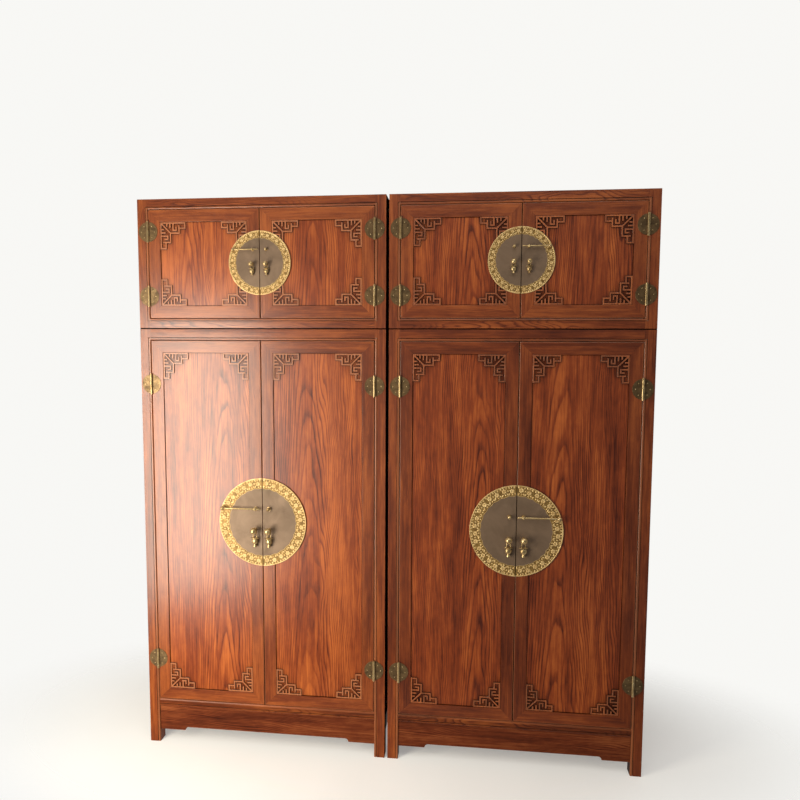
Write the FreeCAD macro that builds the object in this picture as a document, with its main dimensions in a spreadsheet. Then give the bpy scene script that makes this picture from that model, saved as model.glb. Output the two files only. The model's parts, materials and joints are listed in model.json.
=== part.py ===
import FreeCAD, Part
import os
import re

# A pair of compound wardrobes that stand side by side. Each tower is a cabinet on four
# posts with a hat chest of the same plan on top, and each case has two hinged doors.
# Lengths are in millimetres. The pieces are made in the frame of one tower: x = 0 is its
# middle, y = 0 is the face of its posts, y grows to the back, and z = 0 is its underside.

# Driving sizes
sizes = {
    # the two towers
    "tower_width": 1000,
    "tower_gap": 12,
    "case_depth": 560,
    "cabinet_height": 1740,
    "chest_height": 510,
    "post_side": 43,
    # front rails: heights as seen from the front, and the top of the sill
    "cabinet_top_rail": 46,
    "sill_height": 190,
    "sill_rail": 32,
    "chest_top_rail": 40,
    "chest_bottom_rail": 40,
    # bead worked on the edge of the frame round each door opening
    "bead_width": 8,
    "bead_round": 4,
    "quirk_width": 2,
    "quirk_depth": 3,
    "sill_round": 8,
    # joinery
    "tenon_length": 14,
    "tenon_thick": 10,
    "tenon_shoulder": 10,
    "fit_gap": 0.2,
    "panel_thick": 10,
    "panel_setback": 6,
    "panel_tongue": 7,
    "board_thick": 12,
    "board_drop": 6,
    "dowel_radius": 6,
    "dowel_length": 40,
    # apron under the sill, with a bracket at each end
    "apron_thick": 18,
    "apron_setback": 6,
    "apron_low": 66,
    "apron_tongue": 6,
    "bracket_low": 52,
    "bracket_reach": 108,
    # fittings inside the cabinet
    "stop_gap": 0.5,
    "stop_height": 10,
    "stop_depth": 12,
    "shelf_height": 560,
    "shelf_thick": 20,
    "bearer_height": 40,
    "bearer_thick": 18,
    "clothes_rail_drop": 150,
    "clothes_rail_radius": 14,
    "clothes_rail_let_in": 12,
    # doors
    "door_gap": 2,
    "meeting_gap": 3,
    "door_thick": 24,
    "door_member": 48,
    "door_tenon": 8,
    "door_tenon_back": 12,
    "door_panel_thick": 9,
    "door_panel_recess": 4,
    # carved fret in each corner of a door panel
    "fret_margin": 1,
    "fret_relief": 3.5,
    "fret_bar": 5.5,
    "fret_reach": 106,
    "fret_tip_depth": 27,
    "fret_step_reach": 82,
    "fret_step_depth": 46,
    "fret_step_gap": 6,
    "fret_hook_start": 52,
    "fret_hook_end": 70,
    "fret_hook_depth": 35,
    "fret_hook_top": 18,
    "fret_near_stub": 26,
    "fret_near_stub_depth": 18,
    "fret_far_stub": 39,
    "fret_far_stub_depth": 24,
    # split round brass plates at the middle of each pair of doors
    "cabinet_plate_radius": 180,
    "chest_plate_radius": 125,
    "cabinet_plate_rise": 19,
    "chest_plate_rise": 2,
    "plate_thick": 1.6,
    "plate_rim_thick": 2.4,
    "plate_rim_share": 0.78,
    # round plate hinges
    "hinge_radius": 39,
    "leaf_thick": 1.6,
    "barrel_radius": 4.5,
    "barrel_clear": 0.4,
    "barrel_over": 3,
    "hinge_pin_radius": 2.2,
    "knuckle_gap": 0.4,
    "run_gap": 0.1,
    "cabinet_hinge_inset": 175,
    "chest_hinge_inset": 86,
    # latch pin and the eyes that it slides through
    "eye_offset": 27,
    "eye_rise": 56,
    "chest_eye_rise": 51,
    "eye_reach": 13,
    "eye_radius": 7.2,
    "eye_stem_radius": 4,
    "eye_collar_radius": 8,
    "eye_collar_thick": 1.6,
    "rod_radius": 3.3,
    "rod_length": 156,
    "chest_rod_length": 98,
    "rod_set_back": 2,
    "rod_tip_radius": 1.8,
    "rod_ball_radius": 9,
    # drop pull: a knob with a cross hole, and the drop that swings in it
    "pull_offset": 29,
    "pull_fall": 30,
    "chest_pull_fall": 6,
    "pull_reach": 10.5,
    "pull_collar_radius": 7,
    "pull_collar_thick": 2,
    "pull_stem_radius": 4.5,
    "knob_ahead": 16.5,
    "knob_radius": 13.5,
    "loop_wire_radius": 1.9,
    "loop_side_gap": 0.5,
    "loop_length": 33,
    "chest_loop_length": 17,
    "flange_half_width": 17.5,
    "flange_half_depth": 9,
    "flange_half_height": 2.6,
    "bulb_half_width": 12.5,
    "bulb_half_depth": 9.5,
    "bulb_half_height": 13,
    "foot_neck_radius": 4.5,
    "foot_radius": 8,
    "foot_height": 11,
    # the chest's pulls and latch are the same pattern, cast smaller; where a length does not
    # follow that scale, the chest has its own value above
    "chest_fitting_scale": 0.74,
}

# Lengths that follow from the driving sizes
derived = {
    "half_width": "tower_width / 2",
    "opening_half": "half_width - post_side",
    "cabinet_rail_low": "sill_height - sill_rail",
    "cabinet_opening_low": "sill_height",
    "cabinet_opening_high": "cabinet_height - cabinet_top_rail",
    "chest_rail_low": "0",
    "chest_opening_low": "chest_bottom_rail",
    "chest_opening_high": "chest_height - chest_top_rail",
    "cabinet_plate_height": "(cabinet_opening_low + cabinet_opening_high) / 2 + cabinet_plate_rise",
    "chest_plate_height": "(chest_opening_low + chest_opening_high) / 2 + chest_plate_rise",
    "clothes_rail_height": "cabinet_height - clothes_rail_drop",
    "panel_outer": "half_width - panel_setback",
    "panel_inner": "half_width - panel_setback - panel_thick",
    "back_inner": "case_depth - panel_setback - panel_thick",
    "back_outer": "case_depth - panel_setback",
    "door_hinge_edge": "opening_half - door_gap",
    "door_meeting_edge": "meeting_gap / 2",
    "hinge_axis": "opening_half - door_gap / 2",
    "pivot_reach": "barrel_radius + barrel_clear",
    "leaf_edge": "barrel_radius + barrel_clear",
    "barrel_length": "2 * (hinge_radius + barrel_over)",
    "front_reach": "plate_thick + pull_reach + knob_ahead + knob_radius",
    "loop_half": "pull_stem_radius + loop_side_gap + loop_wire_radius",
    "root_two": "2 ^ 0.5",
}

doc = FreeCAD.newDocument("wardrobe_pair")
sheet = doc.addObject("Spreadsheet::Sheet", "Sizes")
for row, (alias, value) in enumerate(sizes.items(), start=1):
    sheet.set(f"A{row}", alias)
    sheet.set(f"B{row}", str(value))
    sheet.setAlias(f"B{row}", alias)
doc.recompute()

NAME = re.compile(r"[a-z_]+")
ALONG_X = FreeCAD.Rotation(FreeCAD.Vector(0, 1, 0), 90)
ALONG_Y = FreeCAD.Rotation(FreeCAD.Vector(1, 0, 0), 90)
UPRIGHT = FreeCAD.Rotation()
TURNS = {"x": ALONG_X, "y": ALONG_Y, "z": UPRIGHT}


def formula(text):
    """Spell a length out in sheet cells, with derived lengths put in full."""
    def spell(match):
        name = match.group(0)
        if name in derived:
            return "(" + formula(derived[name]) + ")"
        return "Sizes." + name
    return NAME.sub(spell, text)


def bind(piece, prop, text):
    piece.setExpression(prop, formula(text))


def put(piece, x, y, z):
    for axis, text in zip("xyz", (x, y, z)):
        bind(piece, f"Placement.Base.{axis}", text)
    return piece


def box(name, x, y, z, grow="0"):
    """A block between two corners; grow widens it on every side."""
    piece = doc.addObject("Part::Box", name)
    for prop, (low, high) in zip(("Length", "Width", "Height"), (x, y, z)):
        bind(piece, prop, f"({high}) - ({low}) + 2 * ({grow})")
    return put(piece, *(f"({low}) - ({grow})" for low, high in (x, y, z)))


def rod(name, axis, radius, start, length):
    """A round bar; along y it runs from its start towards the viewer."""
    piece = doc.addObject("Part::Cylinder", name)
    bind(piece, "Radius", radius)
    bind(piece, "Height", length)
    piece.Placement = FreeCAD.Placement(FreeCAD.Vector(), TURNS[axis])
    return put(piece, *start)


def cone(name, axis, start_radius, end_radius, start, length):
    """A tapered round bar, set like a rod."""
    piece = doc.addObject("Part::Cone", name)
    bind(piece, "Radius1", start_radius)
    bind(piece, "Radius2", end_radius)
    bind(piece, "Height", length)
    piece.Placement = FreeCAD.Placement(FreeCAD.Vector(), TURNS[axis])
    return put(piece, *start)


def ball(name, radius, centre, axis="y"):
    """A ball whose poles lie along the axis of its stem."""
    piece = doc.addObject("Part::Sphere", name)
    bind(piece, "Radius", radius)
    piece.Placement = FreeCAD.Placement(FreeCAD.Vector(), TURNS[axis])
    return put(piece, *centre)


def ellipsoid(name, half_x, half_y, half_z, centre):
    piece = doc.addObject("Part::Ellipsoid", name)
    bind(piece, "Radius1", half_z)
    bind(piece, "Radius2", half_x)
    bind(piece, "Radius3", half_y)
    return put(piece, *centre)


def fuse(name, pieces):
    joined = doc.addObject("Part::MultiFuse", name)
    joined.Shapes = pieces
    joined.Refine = True
    return joined


def cut(name, base, tools):
    for number, tool in enumerate(tools):
        step = doc.addObject("Part::Cut", f"{name}_{number}")
        step.Base = base
        step.Tool = tool
        base = step
    return base


def common(name, base, tool):
    kept = doc.addObject("Part::Common", name)
    kept.Base = base
    kept.Tool = tool
    return kept


def mirror(source):
    """The same piece on the other side of the tower's middle."""
    twin = doc.addObject("Part::Mirroring", f"{source.Name}_mirrored")
    twin.Source = source
    twin.Normal = FreeCAD.Vector(1, 0, 0)
    return twin


def both(sources):
    return list(sources) + [mirror(source) for source in sources]


def group(name, pieces):
    gathered = doc.addObject("Part::Compound", name)
    gathered.Links = pieces
    return gathered


def arris(name, axis, radius, corner, inward, length):
    """The waste that is planed away to round one front arris of a post or a rail.

    corner is the (x, z) of the arris at its start, and inward is the sign of the way
    into the wood, along z for a rail and along x for a post.
    """
    x, z = corner
    along = (x, f"({x}) + ({length})") if axis == "x" else (z, f"({z}) + ({length})")
    across = z if axis == "x" else x
    middle = f"({across}) + ({inward}) * ({radius})"
    side = (middle, across) if inward < 0 else (across, middle)
    front = ("0", radius)
    if axis == "x":
        block = box(f"{name}_block", along, front, side)
        round_bar = rod(f"{name}_bar", "x", radius, (x, radius, middle), length)
    else:
        block = box(f"{name}_block", side, front, along)
        round_bar = rod(f"{name}_bar", "z", radius, (middle, radius, z), length)
    return cut(name, block, [round_bar])


# Case joinery: posts, rails and panels
def front_tenon(name, y_middle, z, grow="0"):
    low, high = z
    return box(name, ("-(opening_half + tenon_length)", "-opening_half"),
               (f"{y_middle} - tenon_thick / 2", f"{y_middle} + tenon_thick / 2"),
               (f"{low} + tenon_shoulder", f"{high} - tenon_shoulder"), grow)


def side_tenon(name, y, z, grow="0"):
    low, high = z
    return box(name, ("-(half_width - post_side / 2) - tenon_thick / 2",
                      "-(half_width - post_side / 2) + tenon_thick / 2"), y,
               (f"{low} + tenon_shoulder", f"{high} - tenon_shoulder"), grow)


FRONT_MIDDLE = "post_side / 2"
BACK_MIDDLE = "case_depth - post_side / 2"
FRONT_END = ("post_side - tenon_length", "post_side")
BACK_END = ("case_depth - post_side", "case_depth - post_side + tenon_length")
POST_X = ("-half_width", "-opening_half")
FRONT_Y = ("0", "post_side")
BACK_Y = ("case_depth - post_side", "case_depth")
ACROSS = ("-opening_half", "opening_half")
SIDE_Y = ("post_side", "case_depth - post_side")
QUIRK_X = ("-opening_half - bead_width - quirk_width", "-opening_half - bead_width")
QUIRK_Y = ("-quirk_depth", "quirk_depth")


def make_case(kind):
    """Posts, rails, panels and boards of one case, as lists of separate pieces."""
    height = f"{kind}_height"
    rail_low = f"{kind}_rail_low"
    low = f"{kind}_opening_low"
    high = f"{kind}_opening_high"
    bottom = (rail_low, low)
    top = (high, height)

    side_box = (("-panel_outer", "-panel_inner"),
                ("post_side - panel_tongue", "case_depth - post_side + panel_tongue"),
                (f"{low} - panel_tongue", f"{high} + panel_tongue"))
    back_box = (("-opening_half - panel_tongue", "opening_half + panel_tongue"),
                ("back_inner", "back_outer"),
                (f"{low} - panel_tongue", f"{high} + panel_tongue"))
    board_x = ("-opening_half + fit_gap", "opening_half - fit_gap")
    board_y = ("post_side - panel_tongue", "case_depth - post_side + panel_tongue")
    floor_z = (f"{low} - board_drop - board_thick", f"{low} - board_drop")
    lid_z = (f"{height} - board_drop - board_thick", f"{height} - board_drop")

    side_slot = box(f"{kind}_side_slot", *side_box, "fit_gap")
    back_slot = box(f"{kind}_back_slot", *back_box, "fit_gap")
    floor_slot = box(f"{kind}_floor_slot", ("-half_width", "half_width"), board_y, floor_z, "fit_gap")
    lid_slot = box(f"{kind}_lid_slot", ("-half_width", "half_width"), board_y, lid_z, "fit_gap")

    # the beads run to the floor on the cabinet's legs and turn the corner elsewhere
    bead_start = "0" if kind == "cabinet" else f"{low} - bead_width - quirk_width"
    round_start = "0" if kind == "cabinet" else low
    upper_quirk = (f"{high} + bead_width", f"{high} + bead_width + quirk_width")
    lower_quirk = (f"{low} - bead_width - quirk_width", f"{low} - bead_width")
    corner_x = (QUIRK_X[0], "-opening_half")
    front_cuts = [
        box(f"{kind}_post_quirk", QUIRK_X, QUIRK_Y, (bead_start, upper_quirk[1])),
        box(f"{kind}_upper_corner_quirk", corner_x, QUIRK_Y, upper_quirk),
        arris(f"{kind}_post_arris", "z", "bead_round", ("-opening_half", round_start), -1,
              f"({high}) - ({round_start})"),
    ]
    if kind == "chest":
        front_cuts.append(box("chest_lower_corner_quirk", corner_x, QUIRK_Y, lower_quirk))

    dowel_x = "-(half_width - post_side / 2)"
    dowel_start = f"{height} - dowel_length / 2" if kind == "cabinet" else "-(dowel_length / 2)"
    posts = []
    for place, y, y_middle, end, cuts in (("front", FRONT_Y, FRONT_MIDDLE, FRONT_END, front_cuts),
                                          ("back", BACK_Y, BACK_MIDDLE, BACK_END, [back_slot])):
        mortises = [side_slot]
        for level, z in (("bottom", bottom), ("top", top)):
            mortises.append(front_tenon(f"{kind}_{place}_{level}_mortise", y_middle, z, "fit_gap"))
            mortises.append(side_tenon(f"{kind}_{place}_{level}_side_mortise", end, z, "fit_gap"))
        hole = rod(f"{kind}_{place}_dowel_hole", "z", "dowel_radius + fit_gap",
                   (dowel_x, y_middle, f"{dowel_start} - fit_gap"), "dowel_length + 2 * fit_gap")
        slots = []
        if kind == "cabinet":
            slots.append(box(f"{place}_side_apron_slot", SIDE_APRON_X, SIDE_APRON_Y, SIDE_APRON_Z,
                             "fit_gap"))
        if kind == "cabinet" and place == "front":
            slots.append(box("front_apron_slot", APRON_X, APRON_Y, APRON_SLOT_Z, "fit_gap"))
        blank = box(f"{kind}_{place}_post_blank", POST_X, y, ("0", height))
        posts.append(cut(f"{kind}_{place}_post", blank, cuts + mortises + [hole] + slots))
    posts = both(posts)
    if kind == "chest":
        dowels = [rod(f"chest_{place}_dowel", "z", "dowel_radius", (dowel_x, y_middle, dowel_start),
                      "dowel_length")
                  for place, y_middle in (("front", FRONT_MIDDLE), ("back", BACK_MIDDLE))]
        posts += both(dowels)

    rails = []
    for place, y, y_middle in (("front", FRONT_Y, FRONT_MIDDLE), ("back", BACK_Y, BACK_MIDDLE)):
        for level, z, slot in (("bottom", bottom, floor_slot), ("top", top, lid_slot)):
            name = f"{kind}_{place}_{level}_rail"
            tenon = front_tenon(f"{name}_tenon", y_middle, z)
            blank = fuse(f"{name}_blank", [box(f"{name}_bar", ACROSS, y, z), tenon, mirror(tenon)])
            cuts = [slot]
            if place == "back":
                cuts.append(back_slot)
            elif kind == "cabinet" and level == "bottom":
                cuts.append(arris(f"{name}_upper", "x", "sill_round", ("-opening_half", low), -1,
                                  "2 * opening_half"))
                cuts.append(arris(f"{name}_lower", "x", "bead_round", ("-opening_half", rail_low), 1,
                                  "2 * opening_half"))
                cuts.append(box(f"{name}_quirk", ACROSS, QUIRK_Y,
                                (f"{rail_low} + bead_width", f"{rail_low} + bead_width + quirk_width")))
            else:
                lower = (low, -1, lower_quirk)
                edge, inward, quirk = lower if level == "bottom" else (high, 1, upper_quirk)
                cuts.append(arris(f"{name}_arris", "x", "bead_round", ("-opening_half", edge), inward,
                                  "2 * opening_half"))
                cuts.append(box(f"{name}_quirk", ACROSS, QUIRK_Y, quirk))
            rails.append(cut(name, blank, cuts))
    for level, z in (("bottom", bottom), ("top", top)):
        name = f"{kind}_side_{level}_rail"
        blank = fuse(f"{name}_blank", [box(f"{name}_bar", POST_X, SIDE_Y, z),
                                       side_tenon(f"{name}_front_tenon", FRONT_END, z),
                                       side_tenon(f"{name}_back_tenon", BACK_END, z)])
        rails += both([cut(name, blank, [side_slot])])
    stop_y = ("door_thick + stop_gap", "door_thick + stop_gap + stop_depth")
    rails.append(box(f"{kind}_upper_stop", ACROSS, stop_y, (f"{high} - stop_height", high)))
    rails.append(box(f"{kind}_lower_stop", ACROSS, stop_y, (low, f"{low} + stop_height")))

    panels = both([box(f"{kind}_side_panel", *side_box)])
    panels.append(box(f"{kind}_back_panel", *back_box))
    boards = [box(f"{kind}_floor_board", board_x, board_y, floor_z),
              box(f"{kind}_top_board", board_x, board_y, lid_z)]
    return posts, rails, panels, boards


# Aprons: a shaped one in front, plain ones at the sides
APRON_X = ("-opening_half - apron_tongue", "opening_half + apron_tongue")
APRON_Y = ("apron_setback", "apron_setback + apron_thick")
APRON_Z = ("apron_low", "cabinet_rail_low")
APRON_SLOT_Z = ("bracket_low", "cabinet_rail_low")
SIDE_APRON_X = ("-(half_width - apron_setback)", "-(half_width - apron_setback - apron_thick)")
SIDE_APRON_Y = ("post_side - apron_tongue", "case_depth - post_side + apron_tongue")
SIDE_APRON_Z = APRON_Z


def make_aprons():
    cove = "(apron_low - bracket_low)"
    bracket_end = "-opening_half + bracket_reach"
    bracket = box("apron_bracket", (APRON_X[0], bracket_end), APRON_Y, ("bracket_low", "apron_low"))
    cove_block = box("apron_cove_block", (bracket_end, f"{bracket_end} + {cove}"), APRON_Y,
                     ("bracket_low", "apron_low"))
    cove_start = (f"{bracket_end} + {cove}", "apron_setback + apron_thick", "bracket_low")
    cove_round = rod("apron_cove_round", "y", cove, cove_start, "apron_thick")
    cove_piece = cut("apron_cove", cove_block, [cove_round])
    board = box("apron_board", APRON_X, APRON_Y, APRON_Z)
    front = fuse("front_apron", [board] + both([bracket, cove_piece]))
    return [front] + both([box("side_apron", SIDE_APRON_X, SIDE_APRON_Y, SIDE_APRON_Z)])


# Fittings inside the cabinet
BEARER_X = ("-panel_inner", "-panel_inner + bearer_thick")


def make_shelf():
    bearer = box("shelf_bearer", BEARER_X, SIDE_Y, ("shelf_height - bearer_height", "shelf_height"))
    board = box("shelf_board", ("-panel_inner + fit_gap", "panel_inner - fit_gap"),
                ("post_side + fit_gap", "case_depth - post_side - fit_gap"),
                ("shelf_height", "shelf_height + shelf_thick"))
    return [board] + both([bearer])


def make_clothes_rail():
    socket = "-panel_inner + bearer_thick - clothes_rail_let_in"
    span = "2 * (panel_inner - bearer_thick + clothes_rail_let_in)"
    middle = ("case_depth / 2", "clothes_rail_height")
    bearer = box("clothes_rail_bearer", BEARER_X, SIDE_Y,
                 ("clothes_rail_height - bearer_height / 2", "clothes_rail_height + bearer_height / 2"))
    bore = rod("clothes_rail_bore", "x", "clothes_rail_radius + fit_gap", (f"{socket} - fit_gap", *middle),
               f"{span} + 2 * fit_gap")
    pole = rod("clothes_pole", "x", "clothes_rail_radius", (socket, *middle), span)
    return [pole] + both([cut("clothes_rail_socket", bearer, [bore])])


# Hinges: a half round leaf on the post, one on the door, and the pin through their knuckles
def knuckle(name, z_middle, low_share, high_share, side):
    """One knuckle with the web that ties it to its leaf; side is -1 on the post, 1 on the door."""
    low = f"{z_middle} + ({low_share}) * barrel_length + knuckle_gap / 2"
    length = f"(({high_share}) - ({low_share})) * barrel_length - knuckle_gap"
    barrel = rod(f"{name}_barrel", "z", "barrel_radius", ("-hinge_axis", "-pivot_reach", low), length)
    reach = f"-hinge_axis + ({side}) * (leaf_edge + leaf_thick)"
    web_x = ("-hinge_axis", reach) if side > 0 else (reach, "-hinge_axis")
    web = box(f"{name}_web", web_x, ("-leaf_thick", "0"), (low, f"{low} + {length}"))
    disc = rod(f"{name}_web_trim", "y", "hinge_radius", ("-hinge_axis", "0", z_middle), "leaf_thick")
    return [barrel, common(f"{name}_web_kept", web, disc)]


def hinge_leaf(name, z_middle, side):
    disc = rod(f"{name}_disc", "y", "hinge_radius", ("-hinge_axis", "0", z_middle), "leaf_thick")
    near = f"-hinge_axis + ({side}) * leaf_edge"
    far = f"-hinge_axis + ({side}) * 2 * hinge_radius"
    half = box(f"{name}_half", (near, far) if side > 0 else (far, near), ("-2 * leaf_thick", "leaf_thick"),
               (f"{z_middle} - 2 * hinge_radius", f"{z_middle} + 2 * hinge_radius"))
    plate = common(f"{name}_plate", disc, half)
    # the door has the middle third of the barrel, the post the outer two
    shares = [("-1 / 6", "1 / 6")] if side > 0 else [("-1 / 2", "-1 / 6"), ("1 / 6", "1 / 2")]
    knuckles = []
    for number, (low_share, high_share) in enumerate(shares):
        knuckles += knuckle(f"{name}_knuckle{number}", z_middle, low_share, high_share, side)
    whole = fuse(f"{name}_blank", [plate] + knuckles)
    bore = rod(f"{name}_bore", "z", "hinge_pin_radius + run_gap",
               ("-hinge_axis", "-pivot_reach", f"{z_middle} - barrel_length"), "2 * barrel_length")
    return cut(name, whole, [bore])


def hinge_heights(kind):
    return {"lower": f"{kind}_opening_low + door_gap + {kind}_hinge_inset",
            "upper": f"{kind}_opening_high - door_gap - {kind}_hinge_inset"}


def make_post_hinges(kind):
    pieces = []
    for place, z_middle in hinge_heights(kind).items():
        pieces.append(hinge_leaf(f"{kind}_{place}_post_leaf", z_middle, -1))
        pin_start = ("-hinge_axis", "-pivot_reach", f"{z_middle} - barrel_length / 2")
        pieces.append(rod(f"{kind}_{place}_hinge_pin", "z", "hinge_pin_radius", pin_start, "barrel_length"))
    return both(pieces)


# Doors: mitred frame with hidden tenons, loose panel with carved corner frets
def wedge(name, x_axis, y_axis, z_axis, thick, outer, long_low, long_high):
    """A mitred frame member: outer is its outer edge along y_axis, long_low to long_high its length."""
    piece = doc.addObject("Part::Wedge", name)
    axes = [FreeCAD.Vector(*axis) for axis in (x_axis, y_axis, z_axis)]
    turn = FreeCAD.Rotation(*axes, "ZXY")
    piece.Placement = FreeCAD.Placement(FreeCAD.Vector(), turn)
    thick_low, thick_high = thick
    limits = {"Xmin": thick_low, "X2min": thick_low, "Xmax": thick_high, "X2max": thick_high,
              "Ymin": outer, "Ymax": f"({outer}) + door_member",
              "Zmin": long_low, "Z2min": f"({long_low}) + door_member",
              "Zmax": long_high, "Z2max": f"({long_high}) - door_member"}
    for prop, text in limits.items():
        bind(piece, prop, text)
    return piece


def make_door_wood(kind):
    low = f"{kind}_opening_low + door_gap"
    high = f"{kind}_opening_high - door_gap"
    outer = "-door_hinge_edge"
    inner = "-door_meeting_edge"
    forward = ("-door_thick", "0")
    backward = ("0", "door_thick")

    stiles = {
        "hinge_stile": wedge(f"{kind}_hinge_stile_blank", (0, -1, 0), (1, 0, 0), (0, 0, 1),
                             forward, outer, low, high),
        "meeting_stile": wedge(f"{kind}_meeting_stile_blank", (0, 1, 0), (-1, 0, 0), (0, 0, 1),
                               backward, "door_meeting_edge", low, high),
    }
    rails = {
        "top_rail": wedge(f"{kind}_door_top_rail_blank", (0, -1, 0), (0, 0, -1), (1, 0, 0),
                          forward, f"-({high})", outer, inner),
        "bottom_rail": wedge(f"{kind}_door_bottom_rail_blank", (0, 1, 0), (0, 0, 1), (1, 0, 0),
                             backward, low, outer, inner),
    }
    panel_box = ((f"{outer} + door_member - panel_tongue", f"{inner} - door_member + panel_tongue"),
                 ("door_panel_recess", "door_panel_recess + door_panel_thick"),
                 (f"{low} + door_member - panel_tongue", f"{high} - door_member + panel_tongue"))
    slot = box(f"{kind}_door_panel_slot", *panel_box, "fit_gap")

    tenon_x = {"hinge": (f"{outer} + door_tenon_back", f"{outer} + door_member"),
               "meeting": (f"{inner} - door_member", f"{inner} - door_tenon_back")}
    tenon_z = {"top_rail": (f"{high} - door_member + tenon_shoulder", f"{high} - door_tenon_back"),
               "bottom_rail": (f"{low} + door_tenon_back", f"{low} + door_member - tenon_shoulder")}
    tenon_y = ("door_thick / 2 - door_tenon / 2", "door_thick / 2 + door_tenon / 2")
    members = []
    for rail, blank in rails.items():
        tenons = [box(f"{kind}_door_{rail}_{stile}_tenon", tenon_x[stile], tenon_y, tenon_z[rail])
                  for stile in tenon_x]
        whole = fuse(f"{kind}_door_{rail}_whole", [cut(f"{kind}_door_{rail}", blank, [slot])] + tenons)
        members.append(whole)
    for stile, blank in stiles.items():
        side = stile.split("_")[0]
        mortises = [box(f"{kind}_door_{rail}_{stile}_mortise", tenon_x[side], tenon_y, tenon_z[rail],
                        "fit_gap") for rail in rails]
        members.append(cut(f"{kind}_door_{stile}", blank, [slot] + mortises))

    corners = ((f"{outer} + door_member", f"{high} - door_member", 0),
               (f"{inner} - door_member", f"{high} - door_member", 90),
               (f"{inner} - door_member", f"{low} + door_member", 180),
               (f"{outer} + door_member", f"{low} + door_member", 270))
    pieces = [box(f"{kind}_door_panel", *panel_box)]
    for number, (x, z, angle) in enumerate(corners):
        fret = group(f"{kind}_corner_fret{number}", [FRET])
        turn = FreeCAD.Rotation(FreeCAD.Vector(0, 1, 0), angle)
        fret.Placement = FreeCAD.Placement(FreeCAD.Vector(), turn)
        pieces.append(put(fret, x, "door_panel_recess - fret_relief", z))
    return members, pieces


def make_fret():
    """An angular scroll for the top left corner of a panel, the same on both sides of its diagonal."""
    border = ("fret_margin", "fret_margin + fret_bar")
    bars = [
        (("fret_margin", "fret_reach"), border),
        (("fret_reach - fret_bar", "fret_reach"), ("fret_margin", "fret_tip_depth")),
        (("fret_step_reach - fret_bar", "fret_reach"), ("fret_tip_depth - fret_bar", "fret_tip_depth")),
        (("fret_step_reach - fret_bar", "fret_step_reach"),
         ("fret_margin + fret_bar + fret_step_gap", "fret_step_depth")),
        (("fret_step_depth - fret_bar", "fret_step_reach"),
         ("fret_step_depth - fret_bar", "fret_step_depth")),
        (("fret_hook_start", "fret_hook_start + fret_bar"), ("fret_margin", "fret_hook_depth")),
        (("fret_hook_start", "fret_hook_end"), ("fret_hook_depth - fret_bar", "fret_hook_depth")),
        (("fret_hook_end - fret_bar", "fret_hook_end"), ("fret_hook_top", "fret_hook_depth")),
        (("fret_near_stub", "fret_near_stub + fret_bar"), ("fret_margin", "fret_near_stub_depth")),
        (("fret_far_stub", "fret_far_stub + fret_bar"), ("fret_margin", "fret_far_stub_depth")),
    ]
    relief = ("0", "fret_relief")
    pieces = []
    for number, (along, down) in enumerate(bars):
        for side, x, fall in (("across", along, down), ("down", down, along)):
            pieces.append(box(f"fret_bar{number}_{side}", x, relief, (f"-({fall[1]})", f"-({fall[0]})")))
    brace = doc.addObject("Part::Box", "fret_brace")
    start = "fret_margin + fret_bar / 2"
    bind(brace, "Length", f"(fret_step_depth - fret_bar / 2 - ({start})) * root_two")
    bind(brace, "Width", "fret_relief")
    bind(brace, "Height", "fret_bar")
    brace.Placement = FreeCAD.Placement(FreeCAD.Vector(), FreeCAD.Rotation(FreeCAD.Vector(0, 1, 0), 45))
    edge = f"({start}) - fret_bar / 2 / root_two"
    put(brace, edge, "0", f"-({start}) - fret_bar / 2 / root_two")
    return fuse("corner_fret", pieces + [brace])


# Brass on the doors. The chest has its own values for some lengths, named with this prefix.
OWN = {"cabinet": "", "chest": "chest_"}


def make_plate(kind):
    """Half of the split round plate, with a raised rim band."""
    radius = f"{kind}_plate_radius"
    centre = f"{kind}_plate_height"
    field = rod(f"{kind}_plate_field", "y", radius, ("0", "0", centre), "plate_thick")
    band = rod(f"{kind}_plate_band", "y", radius, ("0", "0", centre), "plate_rim_thick")
    well = rod(f"{kind}_plate_well", "y", f"{radius} * plate_rim_share", ("0", "plate_rim_thick", centre),
               "3 * plate_rim_thick")
    disc = fuse(f"{kind}_plate_disc", [field, cut(f"{kind}_plate_rim", band, [well])])
    half = box(f"{kind}_plate_half", (f"-2 * {radius}", "-door_meeting_edge"),
               ("-2 * plate_rim_thick", "plate_rim_thick"),
               (f"{centre} - 2 * {radius}", f"{centre} + 2 * {radius}"))
    return common(f"{kind}_half_plate", disc, half)


def make_eye(kind, scale):
    """The post that the latch pin slides through."""
    z = f"{kind}_plate_height + {OWN[kind]}eye_rise"
    reach = f"plate_thick + ({scale}) * eye_reach"
    head = ball(f"{kind}_eye_head", f"({scale}) * eye_radius", ("-eye_offset", f"-({reach})", z))
    stem = rod(f"{kind}_eye_stem", "y", f"({scale}) * eye_stem_radius", ("-eye_offset", "-plate_thick", z),
               f"({scale}) * eye_reach")
    collar = rod(f"{kind}_eye_collar", "y", f"({scale}) * eye_collar_radius",
                 ("-eye_offset", "-plate_thick", z), f"({scale}) * eye_collar_thick")
    blank = fuse(f"{kind}_eye_blank", [head, stem, collar])
    bore = rod(f"{kind}_eye_bore", "x", f"({scale}) * rod_radius + run_gap",
               ("-2 * eye_offset", f"-({reach})", z), "2 * eye_offset")
    return cut(f"{kind}_eye", blank, [bore])


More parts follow.
